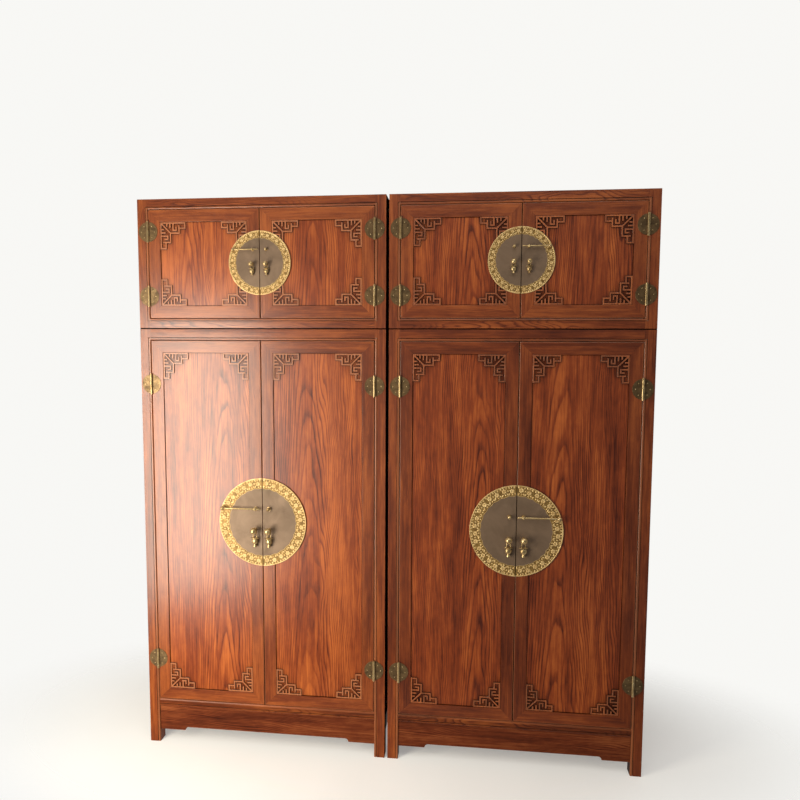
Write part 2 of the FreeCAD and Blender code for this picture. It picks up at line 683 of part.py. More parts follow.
def make_latch_pin(kind, scale):
    """The drawn back pin: its tip is just short of the meeting edge of its own door."""
    z = f"{kind}_plate_height + {OWN[kind]}eye_rise"
    y = f"-(plate_thick + ({scale}) * eye_reach)"
    radius = f"({scale}) * rod_radius"
    tip = f"-door_meeting_edge - rod_set_back - {radius}"
    length = f"{OWN[kind]}rod_length"
    head = f"{tip} - {length}"
    shank = rod(f"{kind}_pin_shank", "x", radius, (head, y, z), length)
    point = cone(f"{kind}_pin_point", "x", radius, f"({scale}) * rod_tip_radius", (tip, y, z), radius)
    knob = ball(f"{kind}_pin_ball", f"({scale}) * rod_ball_radius", (head, y, z), "x")
    return fuse(f"{kind}_latch_pin", [shank, point, knob])


def make_pull_post(kind, scale):
    """The knob that carries the drop, with a cross hole behind its head."""
    z = f"{kind}_plate_height - {OWN[kind]}pull_fall"
    bar_y = f"plate_thick + ({scale}) * pull_reach"
    head_y = f"{bar_y} + ({scale}) * knob_ahead"
    face = ("-pull_offset", "-plate_thick", z)
    head = ball(f"{kind}_knob_head", f"({scale}) * knob_radius", ("-pull_offset", f"-({head_y})", z))
    stem = rod(f"{kind}_knob_stem", "y", f"({scale}) * pull_stem_radius", face,
               f"({scale}) * (pull_reach + knob_ahead)")
    collar = rod(f"{kind}_knob_collar", "y", f"({scale}) * pull_collar_radius", face,
                 f"({scale}) * pull_collar_thick")
    blank = fuse(f"{kind}_pull_post_blank", [head, stem, collar])
    bore = rod(f"{kind}_pull_bore", "x", f"({scale}) * loop_wire_radius + run_gap",
               ("-2 * pull_offset", f"-({bar_y})", z), "2 * pull_offset")
    return cut(f"{kind}_pull_post", blank, [bore])


def make_pull(kind, scale):
    """The drop: a wire loop through the knob's stem, a flange, a bulb and a flared foot."""
    z = f"{kind}_plate_height - {OWN[kind]}pull_fall"
    y = f"-(plate_thick + ({scale}) * pull_reach)"
    wire = f"({scale}) * loop_wire_radius"
    half = f"({scale}) * loop_half"
    loop_length = f"{OWN[kind]}loop_length"
    flange_z = f"{z} - {loop_length}"
    bulb_z = f"{flange_z} - ({scale}) * bulb_half_height"
    foot_z = f"{flange_z} - ({scale}) * (2 * bulb_half_height + foot_height - foot_neck_radius / 2)"
    pieces = [rod(f"{kind}_loop_bar", "x", wire, (f"-pull_offset - {half}", y, z), f"2 * {half}")]
    for side, sign in (("left", "-"), ("right", "+")):
        x = f"-pull_offset {sign} {half}"
        pieces.append(ball(f"{kind}_loop_{side}_bend", wire, (x, y, z), "z"))
        pieces.append(rod(f"{kind}_loop_{side}_leg", "z", wire, (x, y, flange_z), loop_length))
    pieces.append(ellipsoid(f"{kind}_pull_flange", f"({scale}) * flange_half_width",
                            f"({scale}) * flange_half_depth", f"({scale}) * flange_half_height",
                            ("-pull_offset", y, flange_z)))
    pieces.append(ellipsoid(f"{kind}_pull_bulb", f"({scale}) * bulb_half_width",
                            f"({scale}) * bulb_half_depth", f"({scale}) * bulb_half_height",
                            ("-pull_offset", y, bulb_z)))
    pieces.append(cone(f"{kind}_pull_foot", "z", f"({scale}) * foot_radius", f"({scale}) * foot_neck_radius",
                       ("-pull_offset", y, foot_z), f"({scale}) * foot_height"))
    return fuse(f"{kind}_pull", pieces)


FRET = make_fret()
SCALES = {"cabinet": "1", "chest": "chest_fitting_scale"}

# One tower's pieces, by the name of the node that they make up
fixed_groups = {}
door_groups = {}
pins = {}
for kind, scale in SCALES.items():
    posts, rails, panels, boards = make_case(kind)
    fixed_groups[f"{kind}_posts"] = (kind, posts)
    fixed_groups[f"{kind}_rails"] = (kind, rails)
    if kind == "cabinet":
        fixed_groups["cabinet_boards"] = (kind, panels + boards)
        fixed_groups["cabinet_apron"] = (kind, make_aprons())
        fixed_groups["cabinet_shelf"] = (kind, make_shelf())
        fixed_groups["clothes_rail"] = (kind, make_clothes_rail())
    else:
        fixed_groups["chest_panels"] = (kind, panels)
        fixed_groups["chest_boards"] = (kind, boards)
    fixed_groups[f"{kind}_hinge_leaves"] = (kind, make_post_hinges(kind))

    frame, panel = make_door_wood(kind)
    brass = [make_plate(kind), make_eye(kind, scale), make_pull_post(kind, scale)]
    brass += [hinge_leaf(f"{kind}_{place}_door_leaf", z_middle, 1)
              for place, z_middle in hinge_heights(kind).items()]
    door_groups[kind] = {"door_frame": frame, "door_panel": panel, "door_brass": brass,
                         "pull": [make_pull(kind, scale)]}
    pins[kind] = make_latch_pin(kind, scale)

# The nodes: every group set in its place in the left and the right tower
TOWER_SIGN = {"left": "-", "right": ""}
BASE_HEIGHT = {"cabinet": "0", "chest": "cabinet_height"}
nodes = []


def node(tower, kind, name, pieces):
    placed = group(f"node_{tower}_{name}", pieces)
    placed.Label = f"{tower}_{name}"
    put(placed, f"{TOWER_SIGN[tower]}(tower_width + tower_gap) / 2", "-(case_depth - front_reach) / 2",
        BASE_HEIGHT[kind])
    nodes.append(placed)


for tower in ("left", "right"):
    for name, (kind, pieces) in fixed_groups.items():
        node(tower, kind, name, pieces)
    for kind, groups in door_groups.items():
        for name, pieces in groups.items():
            node(tower, kind, f"{kind}_left_{name}", pieces)
            node(tower, kind, f"{kind}_right_{name}", [mirror(piece) for piece in pieces])
        pin = pins[kind] if tower == "left" else mirror(pins[kind])
        node(tower, kind, f"{kind}_latch_pin", [pin])

doc.recompute()

failed = [item.Name for item in doc.Objects if "Invalid" in item.State or "Error" in item.State]
unsound = [item.Label for item in nodes if item.Shape.isNull() or not item.Shape.isValid()]
if failed or unsound:
    raise RuntimeError(f"failed objects: {failed}; unsound nodes: {unsound}")

os.makedirs("parts", exist_ok=True)
for item in nodes:
    item.Shape.exportStep(f"parts/{item.Label}.step")
    print(item.Label, len(item.Shape.Solids), "solids", round(item.Shape.Volume / 1000), "cm3")
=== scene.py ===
import json
import math
import random

import bmesh
import bpy
from mathutils import Matrix, Vector

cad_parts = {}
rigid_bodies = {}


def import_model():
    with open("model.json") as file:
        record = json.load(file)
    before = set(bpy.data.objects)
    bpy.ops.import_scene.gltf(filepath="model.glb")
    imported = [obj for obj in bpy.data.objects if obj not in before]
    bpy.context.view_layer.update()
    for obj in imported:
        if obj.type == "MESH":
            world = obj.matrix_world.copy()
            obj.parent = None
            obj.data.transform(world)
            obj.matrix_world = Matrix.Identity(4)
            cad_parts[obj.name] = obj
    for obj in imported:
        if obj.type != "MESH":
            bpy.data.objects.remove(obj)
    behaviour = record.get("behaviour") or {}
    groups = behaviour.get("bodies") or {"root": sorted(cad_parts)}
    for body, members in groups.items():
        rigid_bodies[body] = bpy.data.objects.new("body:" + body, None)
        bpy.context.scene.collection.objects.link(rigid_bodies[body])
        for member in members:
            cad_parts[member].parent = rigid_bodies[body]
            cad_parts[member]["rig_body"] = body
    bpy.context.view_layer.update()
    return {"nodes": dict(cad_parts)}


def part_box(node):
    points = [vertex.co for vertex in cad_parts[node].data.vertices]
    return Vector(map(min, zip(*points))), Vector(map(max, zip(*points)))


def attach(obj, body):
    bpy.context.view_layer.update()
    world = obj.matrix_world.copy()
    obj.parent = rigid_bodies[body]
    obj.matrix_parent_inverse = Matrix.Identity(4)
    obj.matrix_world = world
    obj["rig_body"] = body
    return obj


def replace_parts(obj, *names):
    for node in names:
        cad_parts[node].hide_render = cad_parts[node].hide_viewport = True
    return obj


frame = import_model()


# Posts and rails of the four cases: stained elm, planed square and joined with hidden tenons.
# A bead and a quirk run round each door opening, with shade painted into the quirk and a paler
# bead, as rub and painted highlight. The arrises are eased by hand, and rubbing has left the varnish a
# little paler there. Each board keeps its own grain along its length.
def add(tree, kind, feeds, **settings):
    """Place a node, set its properties, and feed its sockets with values or other sockets."""
    placed = tree.nodes.new(kind)
    for name, value in settings.items():
        setattr(placed, name, value)
    for key, value in feeds.items():
        if isinstance(value, bpy.types.NodeSocket):
            tree.links.new(value, placed.inputs[key])
        else:
            placed.inputs[key].default_value = value
    return placed


def sums(tree, operation, *values):
    return add(tree, "ShaderNodeMath", dict(enumerate(values)), operation=operation).outputs[0]


def stretched(tree, vector, across, through, along):
    """The same place measured in patches that are drawn out along the grain."""
    factors = (across, through, along)
    return add(tree, "ShaderNodeVectorMath", {0: vector, 1: factors}, operation="MULTIPLY").outputs[0]


def mottle(tree, vector, detail=2.0, rough=0.5, bend=0.0):
    feeds = {"Vector": vector, "Scale": 1.0, "Detail": detail, "Roughness": rough, "Distortion": bend}
    return add(tree, "ShaderNodeTexNoise", feeds).outputs[0]


def shades(tree, value, stops):
    """A colour band from a list of (place, colour)."""
    placed = add(tree, "ShaderNodeValToRGB", {"Fac": value})
    band = placed.color_ramp
    band.elements[0].position, band.elements[0].color = stops[0]
    band.elements[1].position, band.elements[1].color = stops[-1]
    for place, colour in stops[1:-1]:
        band.elements.new(place).color = colour
    return placed.outputs["Color"]


def grey(level):
    return (level, level, level, 1.0)


def pigment(red, green, blue):
    """A colour as it is seen, 0 to 255, turned into light."""
    levels = (red / 255, green / 255, blue / 255)
    light = [((c + 0.055) / 1.055) ** 2.4 if c > 10 / 255 else c / 12.92 for c in levels]
    return (*light, 1.0)


def mixed(tree, factor, first, second, blend="MIX"):
    feeds = {0: factor, 6: first, 7: second}
    return add(tree, "ShaderNodeMix", feeds, data_type="RGBA", blend_type=blend).outputs[2]


def elm_grain_group():
    """Growth rings cut along the trunk, with fibre, open pores and cloudy stain."""
    group = bpy.data.node_groups.new("elm_grain", "ShaderNodeTree")
    taken = (("Grain", "NodeSocketVector"), ("Tone", "NodeSocketFloat"),
             ("Ring Spacing", "NodeSocketFloat"), ("Dark", "NodeSocketColor"),
             ("Middle", "NodeSocketColor"), ("Light", "NodeSocketColor"))
    made = (("Color", "NodeSocketColor"), ("Roughness", "NodeSocketFloat"), ("Height", "NodeSocketFloat"))
    for way, sockets in (("INPUT", taken), ("OUTPUT", made)):
        for name, kind in sockets:
            group.interface.new_socket(name=name, in_out=way, socket_type=kind)
    given = group.nodes.new("NodeGroupInput").outputs
    grain = given["Grain"]
    part = add(group, "ShaderNodeSeparateXYZ", {0: grain}).outputs

    def swing(width, length, detail, rough=0.55, bend=0.0):
        """Light and dark about zero, in patches of this width and length in metres."""
        patch = stretched(group, grain, 1 / width, 1 / width, 1 / length)
        return sums(group, "SUBTRACT", mottle(group, patch, detail, rough, bend), 0.5)

    # distance from the heart of the tree, pushed about by the trunk's wander and its taper,
    # and light over most of each ring, with a dark line where the next one begins
    wander = swing(0.11, 0.55, 2.0)
    ripple = swing(0.030, 0.16, 2.0)
    side = sums(group, "MULTIPLY_ADD", wander, 0.06, part["X"])
    heart = add(group, "ShaderNodeCombineXYZ", {"X": side, "Y": part["Y"]}).outputs[0]
    radius = add(group, "ShaderNodeVectorMath", {0: heart}, operation="LENGTH").outputs["Value"]
    radius = sums(group, "MULTIPLY_ADD", part["Z"], 0.035, radius)
    radius = sums(group, "MULTIPLY_ADD", wander, 0.020, radius)
    radius = sums(group, "MULTIPLY_ADD", ripple, 0.0045, radius)
    ring = sums(group, "FRACT", sums(group, "DIVIDE", radius, given["Ring Spacing"]))
    wood = shades(group, ring, [(0.0, grey(0.0)), (0.10, grey(0.15)), (0.30, grey(0.80)), (0.75, grey(1.0)),
                                (0.93, grey(0.80)), (1.0, grey(0.0))])

    # stain and fibre, from broad clouds down to hairs; rings show more in some places than in others
    smoke = swing(0.060, 0.55, 2.0, 0.6, 0.3)
    figure = swing(0.022, 0.055, 2.0, 0.6, 0.4)
    streak = swing(0.016, 0.36, 2.0, 0.6)
    strand = swing(0.0085, 0.20, 1.0)
    thread = swing(0.0042, 0.12, 2.0, 0.6)
    fibre = swing(0.0009, 0.050, 2.0)
    clear = swing(0.060, 0.50, 1.0)
    shown = add(group, "ShaderNodeMapRange", {0: clear, 1: -0.12, 2: 0.12, 3: 0.28, 4: 1.0}).outputs[0]

    # open pores lie in the early part of each ring
    pore = mottle(group, stretched(group, grain, 1500, 1500, 60), 1.0, 0.5)
    pore = add(group, "ShaderNodeMapRange", {0: pore, 1: 0.60, 2: 0.72}).outputs[0]
    early = add(group, "ShaderNodeMapRange", {0: ring, 1: 0.42, 2: 0.12}).outputs[0]
    pore = sums(group, "MULTIPLY", pore, early)

    rings = sums(group, "MULTIPLY", sums(group, "SUBTRACT", wood, 0.70), shown)
    shares = ((rings, 0.46), (smoke, 0.90), (figure, 0.36), (streak, 0.36), (strand, 0.42), (thread, 0.55),
              (fibre, 0.35))
    value = given["Tone"]
    for swung, share in shares:
        value = sums(group, "MULTIPLY_ADD", swung, share, value)
    lower = add(group, "ShaderNodeMapRange", {0: value, 1: -0.40, 2: 0.0}).outputs[0]
    upper = add(group, "ShaderNodeMapRange", {0: value, 1: 0.0, 2: 0.40}).outputs[0]
    colour = mixed(group, lower, given["Dark"], given["Middle"])
    colour = mixed(group, upper, colour, given["Light"])
    colour = mixed(group, sums(group, "MULTIPLY", pore, 0.55), colour, given["Dark"], "MULTIPLY")
    rough = sums(group, "MULTIPLY_ADD", fibre, 0.10, 0.36)
    rough = sums(group, "MULTIPLY_ADD", pore, 0.16, rough)
    height = sums(group, "MULTIPLY_ADD", wood, 0.5, fibre)
    height = sums(group, "SUBTRACT", height, pore)
    add(group, "NodeGroupOutput", {"Color": colour, "Roughness": rough, "Height": height})
    return group


elm_grain = elm_grain_group()


def varnished_elm(name, dark, middle, light, rub_and_highlight_colour, ring_spacing, specular, coat):
    """Stained elm under satin varnish, whose varnish shines less near the floor. Shade is painted into
    corners and creases.
    The corner attribute is above zero where rubbing has lightened the stain or a highlight is painted, and
    below zero where shade is painted or the sill is darker."""
    finish = bpy.data.materials.new(name)
    finish.use_nodes = True
    tree = finish.node_tree
    tree.nodes.clear()
    grain = add(tree, "ShaderNodeAttribute", {}, attribute_name="grain").outputs["Vector"]
    tone = add(tree, "ShaderNodeAttribute", {}, attribute_name="tone").outputs["Fac"]
    wear_and_painted_light = add(tree, "ShaderNodeAttribute", {}, attribute_name="wear_and_painted_light").outputs["Fac"]
    feeds = {"Grain": grain, "Tone": tone, "Ring Spacing": ring_spacing, "Dark": dark, "Middle": middle,
             "Light": light}
    wood = add(tree, "ShaderNodeGroup", feeds, node_tree=elm_grain).outputs

    # painted shade: ambient occlusion darkens the wood in corners, creases and between the scrolls
    corner = add(tree, "ShaderNodeAmbientOcclusion", {"Distance": 0.012}, samples=6, only_local=True)
    corner_shade = shades(tree, corner.outputs["AO"],
                      [(0.15, grey(0.08)), (0.70, grey(0.36)), (0.97, grey(1.0))])
    colour = mixed(tree, 1.0, wood["Color"], corner_shade, "MULTIPLY")
    # paler where rubbing has taken the stain off, and painted highlights on beads, door rounds and scroll
    # tops
    rub_and_highlight = add(tree, "ShaderNodeMapRange", {0: wear_and_painted_light, 1: 0.0, 2: 1.0}).outputs[0]
    rub_and_highlight = sums(tree, "MULTIPLY", rub_and_highlight, sums(tree, "MULTIPLY_ADD", wood["Height"], 0.4, 0.55))
    colour = mixed(tree, rub_and_highlight, colour, rub_and_highlight_colour)
    # painted shade in quirks, seams, the tower gap, door edges and between the scrolls, mixed in as a dark
    # colour; the sill faces are darker too
    shade_and_grime = add(tree, "ShaderNodeMapRange", {0: wear_and_painted_light, 1: 0.0, 2: -1.0}).outputs[0]
    colour = mixed(tree, shade_and_grime, colour, pigment(24, 12, 7))
    relief = add(tree, "ShaderNodeBump", {"Strength": 0.12, "Distance": 0.0006, "Height": wood["Height"]})

    # a quarter of the shine is left at the sill, all of it above 0.6 m, and none where shade is painted or
    # the sill is darker
    place = add(tree, "ShaderNodeTexCoord", {}).outputs["Object"]
    height = add(tree, "ShaderNodeSeparateXYZ", {0: place}).outputs["Z"]
    shine = add(tree, "ShaderNodeMapRange", {0: height, 1: 0.12, 2: 0.60, 3: 0.25, 4: 1.0}).outputs[0]
    shine = sums(tree, "MULTIPLY", shine, sums(tree, "SUBTRACT", 1.0, shade_and_grime))
    feeds = {"Base Color": colour, "Roughness": wood["Roughness"], "Normal": relief.outputs[0],
             "Specular IOR Level": sums(tree, "MULTIPLY", shine, specular),
             "Coat Weight": sums(tree, "MULTIPLY", shine, coat), "Coat Roughness": 0.24}
    surface = add(tree, "ShaderNodeBsdfPrincipled", feeds)
    add(tree, "ShaderNodeOutputMaterial", {"Surface": surface.outputs[0]})
    return finish


stained_elm = varnished_elm("stained_elm", pigment(72, 25, 7), pigment(123, 55, 20), pigment(170, 90, 38),
                            pigment(180, 118, 78), ring_spacing=0.0030, specular=0.55, coat=0.40)


def place_of(board):
    """Where a board lies, summed exactly, so that the order of boards is the same in every run."""
    middles = [face.calc_center_median() for face in board]
    return tuple(round(math.fsum(middle[axis] for middle in middles), 4) for axis in range(3))


def boards_in(work):
    """The separate solids of a mesh, each as a list of faces."""
    left = set(work.faces)
    found = []
    while left:
        board = [left.pop()]
        for face in board:
            near = {other for edge in face.edges for other in edge.link_faces} & left
            left -= near
            board.extend(near)
        found.append(board)
    found.sort(key=place_of)
    return found


NARROW = 0.12


def lay_grain(work, board, chance, along=None, stain=0.0):
    """Write the place of every face corner in its tree: across, out from the heart, and along. A narrow
    board is cut beside the heart, so that its grain runs straight."""
    grain = work.loops.layers.float_vector["grain"]
    tone = work.loops.layers.float["tone"]
    corners = [loop.vert.co for face in board for loop in face.loops]
    low = [min(c[axis] for c in corners) for axis in range(3)]
    spread = [max(c[axis] for c in corners) - low[axis] for axis in range(3)]
    order = sorted(range(3), key=lambda axis: spread[axis])
    length = order[-1] if along is None else along
    through, across = [axis for axis in order if axis != length]
    heart = low[across] + chance.uniform(0.1, 0.9) * spread[across]
    depth = chance.uniform(0.045, 0.100)
    if spread[across] < NARROW:
        heart = low[across] - chance.uniform(0.06, 0.14)
        depth = chance.uniform(0.005, 0.030)
    shift = chance.uniform(-8, 8)
    shade = stain + chance.uniform(-0.07, 0.07)
    for face in board:
        for loop in face.loops:
            co = loop.vert.co
            loop[grain] = (co[across] - heart, co[through] - low[through] + depth, co[length] + shift)
            loop[tone] = shade


def settle(work, name, finishes, slot, body, *nodes):
    """Make the finished piece, at the origin, and tie it to its body and to what it stands for."""
    mesh = bpy.data.meshes.new(name)
    work.to_mesh(mesh)
    work.free()
    for finish in finishes:
        mesh.materials.append(finish)
    piece = bpy.data.objects.new(name, mesh)
    bpy.context.scene.collection.objects.link(piece)
    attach(piece, body)
    if nodes:
        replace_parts(piece, *nodes)
    return piece


def even_light(piece):
    """Flat faces stay flat where they meet an eased arris."""
    for face in piece.data.polygons:
        face.use_smooth = True
    evened = piece.modifiers.new("even_light", "WEIGHTED_NORMAL")
    evened.keep_sharp = True
    return piece


def body_of(node):
    return frame["nodes"][node]["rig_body"]


def grain_layers(work):
    work.loops.layers.float_vector.new("grain")
    work.loops.layers.float.new("tone")
    work.loops.layers.float.new("wear_and_painted_light")


FACE_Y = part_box("left_cabinet_posts")[0].y
SEAM = 1.740
SEAM_EASE = 0.0024
ALONG_AXIS = 0.9
SHARP = 0.6


def at_seam(edge):
    """An edge of the front along the joint where the chest stands on the cabinet."""
    if any(abs(vert.co.z - SEAM) > 1e-4 for vert in edge.verts):
        return False
    return any(face.normal.y < -ALONG_AXIS and face.calc_center_median().y < FACE_Y + 0.002
               for face in edge.link_faces)


def arrises(work, sharp=SHARP):
    """Edges that stand out and turn sharply."""
    return [e for e in work.edges if e.is_manifold and e.is_convex and e.calc_face_angle() > sharp]


def ease_edges(work, edges, offset, segments=1, profile=0.0):
    """Take edges off, flat or rounded, and give the faces made."""
    made = bmesh.ops.bevel(work, geom=edges, offset=offset, offset_type="OFFSET", segments=segments,
                           profile=profile, affect="EDGES", clamp_overlap=True)
    return set(made["faces"])


def welded(node):
    """The node's own mesh, joined where its faces meet."""
    work = bmesh.new()
    work.from_mesh(frame["nodes"][node].data)
    bmesh.ops.remove_doubles(work, verts=work.verts, dist=2e-6)
    return work


def timber(node, finish, slot, along=None, ease=0.0007, stain=0.0, touched=None, cuts=()):
    """The node's boards with eased arrises and laid grain; touched gives the attribute value at a corner of
    a face, above zero for rubbing and painted highlight and below zero for painted shade, or None, and cuts
    are (place, normal) of planes that part a face into differently painted strips."""
    work = welded(node)
    grain_layers(work)
    for board in boards_in(work):
        bmesh.ops.split(work, geom=board)
    bmesh.ops.dissolve_limit(work, angle_limit=math.radians(0.4), verts=work.verts, edges=work.edges)
    cut_back = ease_edges(work, [edge for edge in arrises(work) if at_seam(edge)], SEAM_EASE)
    sharp = [edge for edge in arrises(work) if not cut_back.intersection(edge.link_faces)]
    eased = ease_edges(work, sharp, ease, segments=2, profile=0.5)
    for place, normal in cuts:
        bmesh.ops.bisect_plane(work, geom=[*work.verts, *work.edges, *work.faces], dist=1e-6,
                               plane_co=place, plane_no=normal)
    wear_and_painted_light = work.loops.layers.float["wear_and_painted_light"]
    for face in work.faces:
        for loop in face.loops:
            given = touched(face, loop.vert.co) if touched else None
            if given is None:
                given = float(all(near in eased for near in loop.vert.link_faces))
            loop[wear_and_painted_light] = given
    for number, board in enumerate(boards_in(work)):
        lay_grain(work, board, random.Random(f"{node} {number}"), along, stain)
    return even_light(settle(work, f"{node}_wood", [finish], slot, body_of(node), node))


TOWERS = ("left", "right")
KINDS = ("cabinet", "chest")
TOWER_MIDDLE = {"left": -0.506, "right": 0.506}
OPENING_HALF = 0.457
OPENINGS = ((0.190, 1.694), (1.780, 2.210))
BEAD, BEAD_DEPTH = 0.0082, 0.0045
QUIRK, REVEAL = 0.0105, 0.05
MARGIN = 0.001
GAP_SIDE = 0.030
# how much lighter or darker the wood of each case is coloured
STAIN = {("left", "cabinet"): 0.02, ("left", "chest"): 0.08,
         ("right", "cabinet"): -0.105, ("right", "chest"): 0.03}
# beads are painted paler, as rub and a painted highlight, stronger on the upright beads
UPRIGHT_RUB_AND_HIGHLIGHT, LEVEL_RUB_AND_HIGHLIGHT = 0.45, 0.22
# painted shade in the seam, the quirks and the gap between the towers, and a darker sill
SEAM_SHADE, QUIRK_SHADE, GAP_SHADE, SILL_DARKER = -1.0, -0.9, -1.0, -0.28


def faces_gap(face):
    """Whether a face looks into the narrow gap between the towers."""
    x = face.calc_center_median().x
    return abs(x) < GAP_SIDE and abs(face.normal.x) > ALONG_AXIS and face.normal.x * x < 0


def frame_touch(tower):
    """Beads are painted pale, as rub and a highlight that is stronger on the uprights; shade is painted in
    the quirks and seams and in the gap, and the sill faces are darker.
    """
    def touched(face, _):
        middle = face.calc_center_median()
        if abs(middle.z - SEAM) < SEAM_EASE:
            return SEAM_SHADE
        if faces_gap(face):
            return GAP_SHADE
        across = abs(middle.x - TOWER_MIDDLE[tower]) - OPENING_HALF
        depth = middle.y - FACE_Y
        for low, high in OPENINGS:
            beyond = max(across, low - middle.z, middle.z - high)
            if -MARGIN < beyond < BEAD and depth < BEAD_DEPTH:
                return UPRIGHT_RUB_AND_HIGHLIGHT if beyond == across else LEVEL_RUB_AND_HIGHLIGHT
            if -MARGIN < beyond < QUIRK and 0.0 < depth < REVEAL:
                return QUIRK_SHADE
        under_doors = middle.z < OPENINGS[0][0] and abs(face.normal.y) > ALONG_AXIS
        return SILL_DARKER if under_doors else None
    return touched


for tower in TOWERS:
    for kind in KINDS:
        for group in ("posts", "rails"):
            timber(f"{tower}_{kind}_{group}", stained_elm, "stained_elm", stain=STAIN[tower, kind],
                   touched=frame_touch(tower))


# Side, back, floor and top boards of the cases: thin elm boards in grooves, stained like
# the frames and varnished more thinly.
case_elm = varnished_elm("case_elm", pigment(56, 22, 11), pigment(104, 47, 24), pigment(146, 80, 44),
                         pigment(160, 100, 64), ring_spacing=0.0058, specular=0.25, coat=0.05)


def board_touch(face, _):
    """Shade is painted on the sides that look into the gap."""
    return GAP_SHADE if faces_gap(face) else None


for tower in TOWERS:
    for group in ("cabinet_boards", "chest_panels", "chest_boards"):
        timber(f"{tower}_{group}", case_elm, "stained_elm", touched=board_touch)


# Aprons under the sill: elm boards let into the legs, the front one sawn with a bracket and
# a small cove at each end. So near the floor their varnish has worn dull.
for tower in TOWERS:
    timber(f"{tower}_cabinet_apron", case_elm, "stained_elm", ease=0.0012)


# Shelf and clothes pole inside each cabinet: plain boards and a round pole on side bearers,
# oiled and left without stain.
inner_elm = varnished_elm("inner_elm", pigment(112, 74, 44), pigment(158, 112, 72), pigment(190, 148, 104),
                          pigment(204, 166, 122), ring_spacing=0.0055, specular=0.25, coat=0.0)
for tower in TOWERS:
    timber(f"{tower}_cabinet_shelf", inner_elm, "inner_wood", ease=0.0015)
    timber(f"{tower}_clothes_rail", inner_elm, "inner_wood", ease=0.0010)


# Door frames: four elm members mitred at the corners over hidden tenons. The face has a small
# round at both edges, and a groove behind the inner one holds the loose panel.
MEMBER = 0.048
THICK = 0.024
OUTER_ROUND, INNER_ROUND = 0.0020, 0.0008
GROOVE, GROOVE_FRONT, GROOVE_BACK = 0.0072, 0.0038, 0.0132
MITRE_GAP = 0.00006
# the outer round is painted paler, as rub and highlight; shade is painted on the door's edges and on the
# frame's inner faces
ROUND_RUB_AND_HIGHLIGHT, EDGE_SHADE, INNER_SHADE = 0.45, -0.45, -1.0
SIDES = ("left", "right")


def rounded_corner(centre, radius, start, steps):
    """Points of a quarter round, in the plane of a member's section."""
    turns = [math.radians(start + 90 * step / steps) for step in range(steps + 1)]
    return [(centre[0] + radius * math.cos(t), centre[1] + radius * math.sin(t)) for t in turns]


# the section as (distance in from the outer edge, depth behind the face)
SECTION = [(0.0, THICK), *rounded_corner((OUTER_ROUND, OUTER_ROUND), OUTER_ROUND, 180, 4),
           *rounded_corner((MEMBER - INNER_ROUND, INNER_ROUND), INNER_ROUND, 270, 2),
           (MEMBER, GROOVE_FRONT), (MEMBER - GROOVE, GROOVE_FRONT), (MEMBER - GROOVE, GROOVE_BACK),
           (MEMBER, GROOVE_BACK), (MEMBER, THICK)]


def smooth_by_angle(work, limit=0.6):
    """Smooth the faces, with a crease wherever they turn by more than the limit, in radians."""
    for face in work.faces:
        face.smooth = True
    for edge in work.edges:
        edge.smooth = edge.calc_face_angle(0.0) < limit


def stain_of(door):
    tower, kind = door.split("_")[:2]
    return STAIN[tower, kind]


def mitred_frame(node):
    """Four members whose mitres stand a hair apart; shade is painted on the edges and inner faces, and the
    outer round is painted paler, as rub and highlight.
    """
    low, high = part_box(node)
    work = bmesh.new()
    grain_layers(work)
    wear_and_painted_light = work.loops.layers.float["wear_and_painted_light"]
    count = len(SECTION)

    def section(upright, edge, way, end, back):
        """A member's section at one mitre; way and back are the signs of the ways to the panel and
        to the member's middle."""
        verts = []
        for inward, depth in SECTION:
            across, along = edge + way * inward, end + back * (inward + MITRE_GAP)
            x, z = (across, along) if upright else (along, across)
            verts.append(work.verts.new((x, low.y + depth, z)))
        return verts

    for place, upright, edge, way in (("left", True, low.x, 1), ("right", True, high.x, -1),
                                      ("top", False, high.z, -1), ("bottom", False, low.z, 1)):
        start, stop = (low.z, high.z) if upright else (low.x, high.x)
        first = section(upright, edge, way, start, 1)
        last = section(upright, edge, way, stop, -1)
        faces = [work.faces.new((first[n], first[(n + 1) % count], last[(n + 1) % count], last[n]))
                 for n in range(count)]
        for n, face in enumerate(faces):
            near, far = SECTION[n][0], SECTION[(n + 1) % count][0]
            if near == far:
                touch = EDGE_SHADE if near == 0.0 else INNER_SHADE
            else:
                touch = ROUND_RUB_AND_HIGHLIGHT if max(near, far) <= OUTER_ROUND else 0.0
            for loop in face.loops:
                loop[wear_and_painted_light] = touch
        faces += [work.faces.new(first), work.faces.new(last)]
        bmesh.ops.recalc_face_normals(work, faces=faces)
        lay_grain(work, faces, random.Random(f"{node} {place}"), 2 if upright else 0, stain=stain_of(node))
    smooth_by_angle(work, limit=0.7)
    return even_light(settle(work, f"{node}_wood", [stained_elm], "stained_elm", body_of(node), node))


DOORS = [f"{tower}_{kind}_{side}_door" for tower in TOWERS for kind in KINDS for side in SIDES]
for door in DOORS:
    mitred_frame(f"{door}_frame")


# Door panels: one elm board each, left loose in the grooves of its frame, with an angular
# scroll carved in relief in each corner. The scroll tops are painted paler, as rub and sheen,
# and shade is painted on the ground between them and along the frame.
panel_elm = varnished_elm("panel_elm", pigment(73, 23, 6), pigment(137, 59, 20), pigment(187, 98, 40),
                          pigment(200, 136, 92), ring_spacing=0.0062, specular=0.55, coat=0.40)
PANEL_FACE = FACE_Y + 0.004
SCROLL_TOP = PANEL_FACE - 0.0028
FLATNESS = 0.0006
CARVED = 0.150
EDGE_STRIP = 0.0024
# how much paler the scroll tops are painted, as rub and a sheen that is stronger on the left tower, and how
# dark the painted shade on the ground is
SCROLL_RUB_AND_SHEEN = {"left": 0.62, "right": 0.30}
CARVED_SHADE = {"left": 0.60, "right": 1.0}
# painted shade on the sides of the scrolls and along the frame
SCROLL_SIDE_SHADE, STRIP_SHADE = -0.60, -0.65


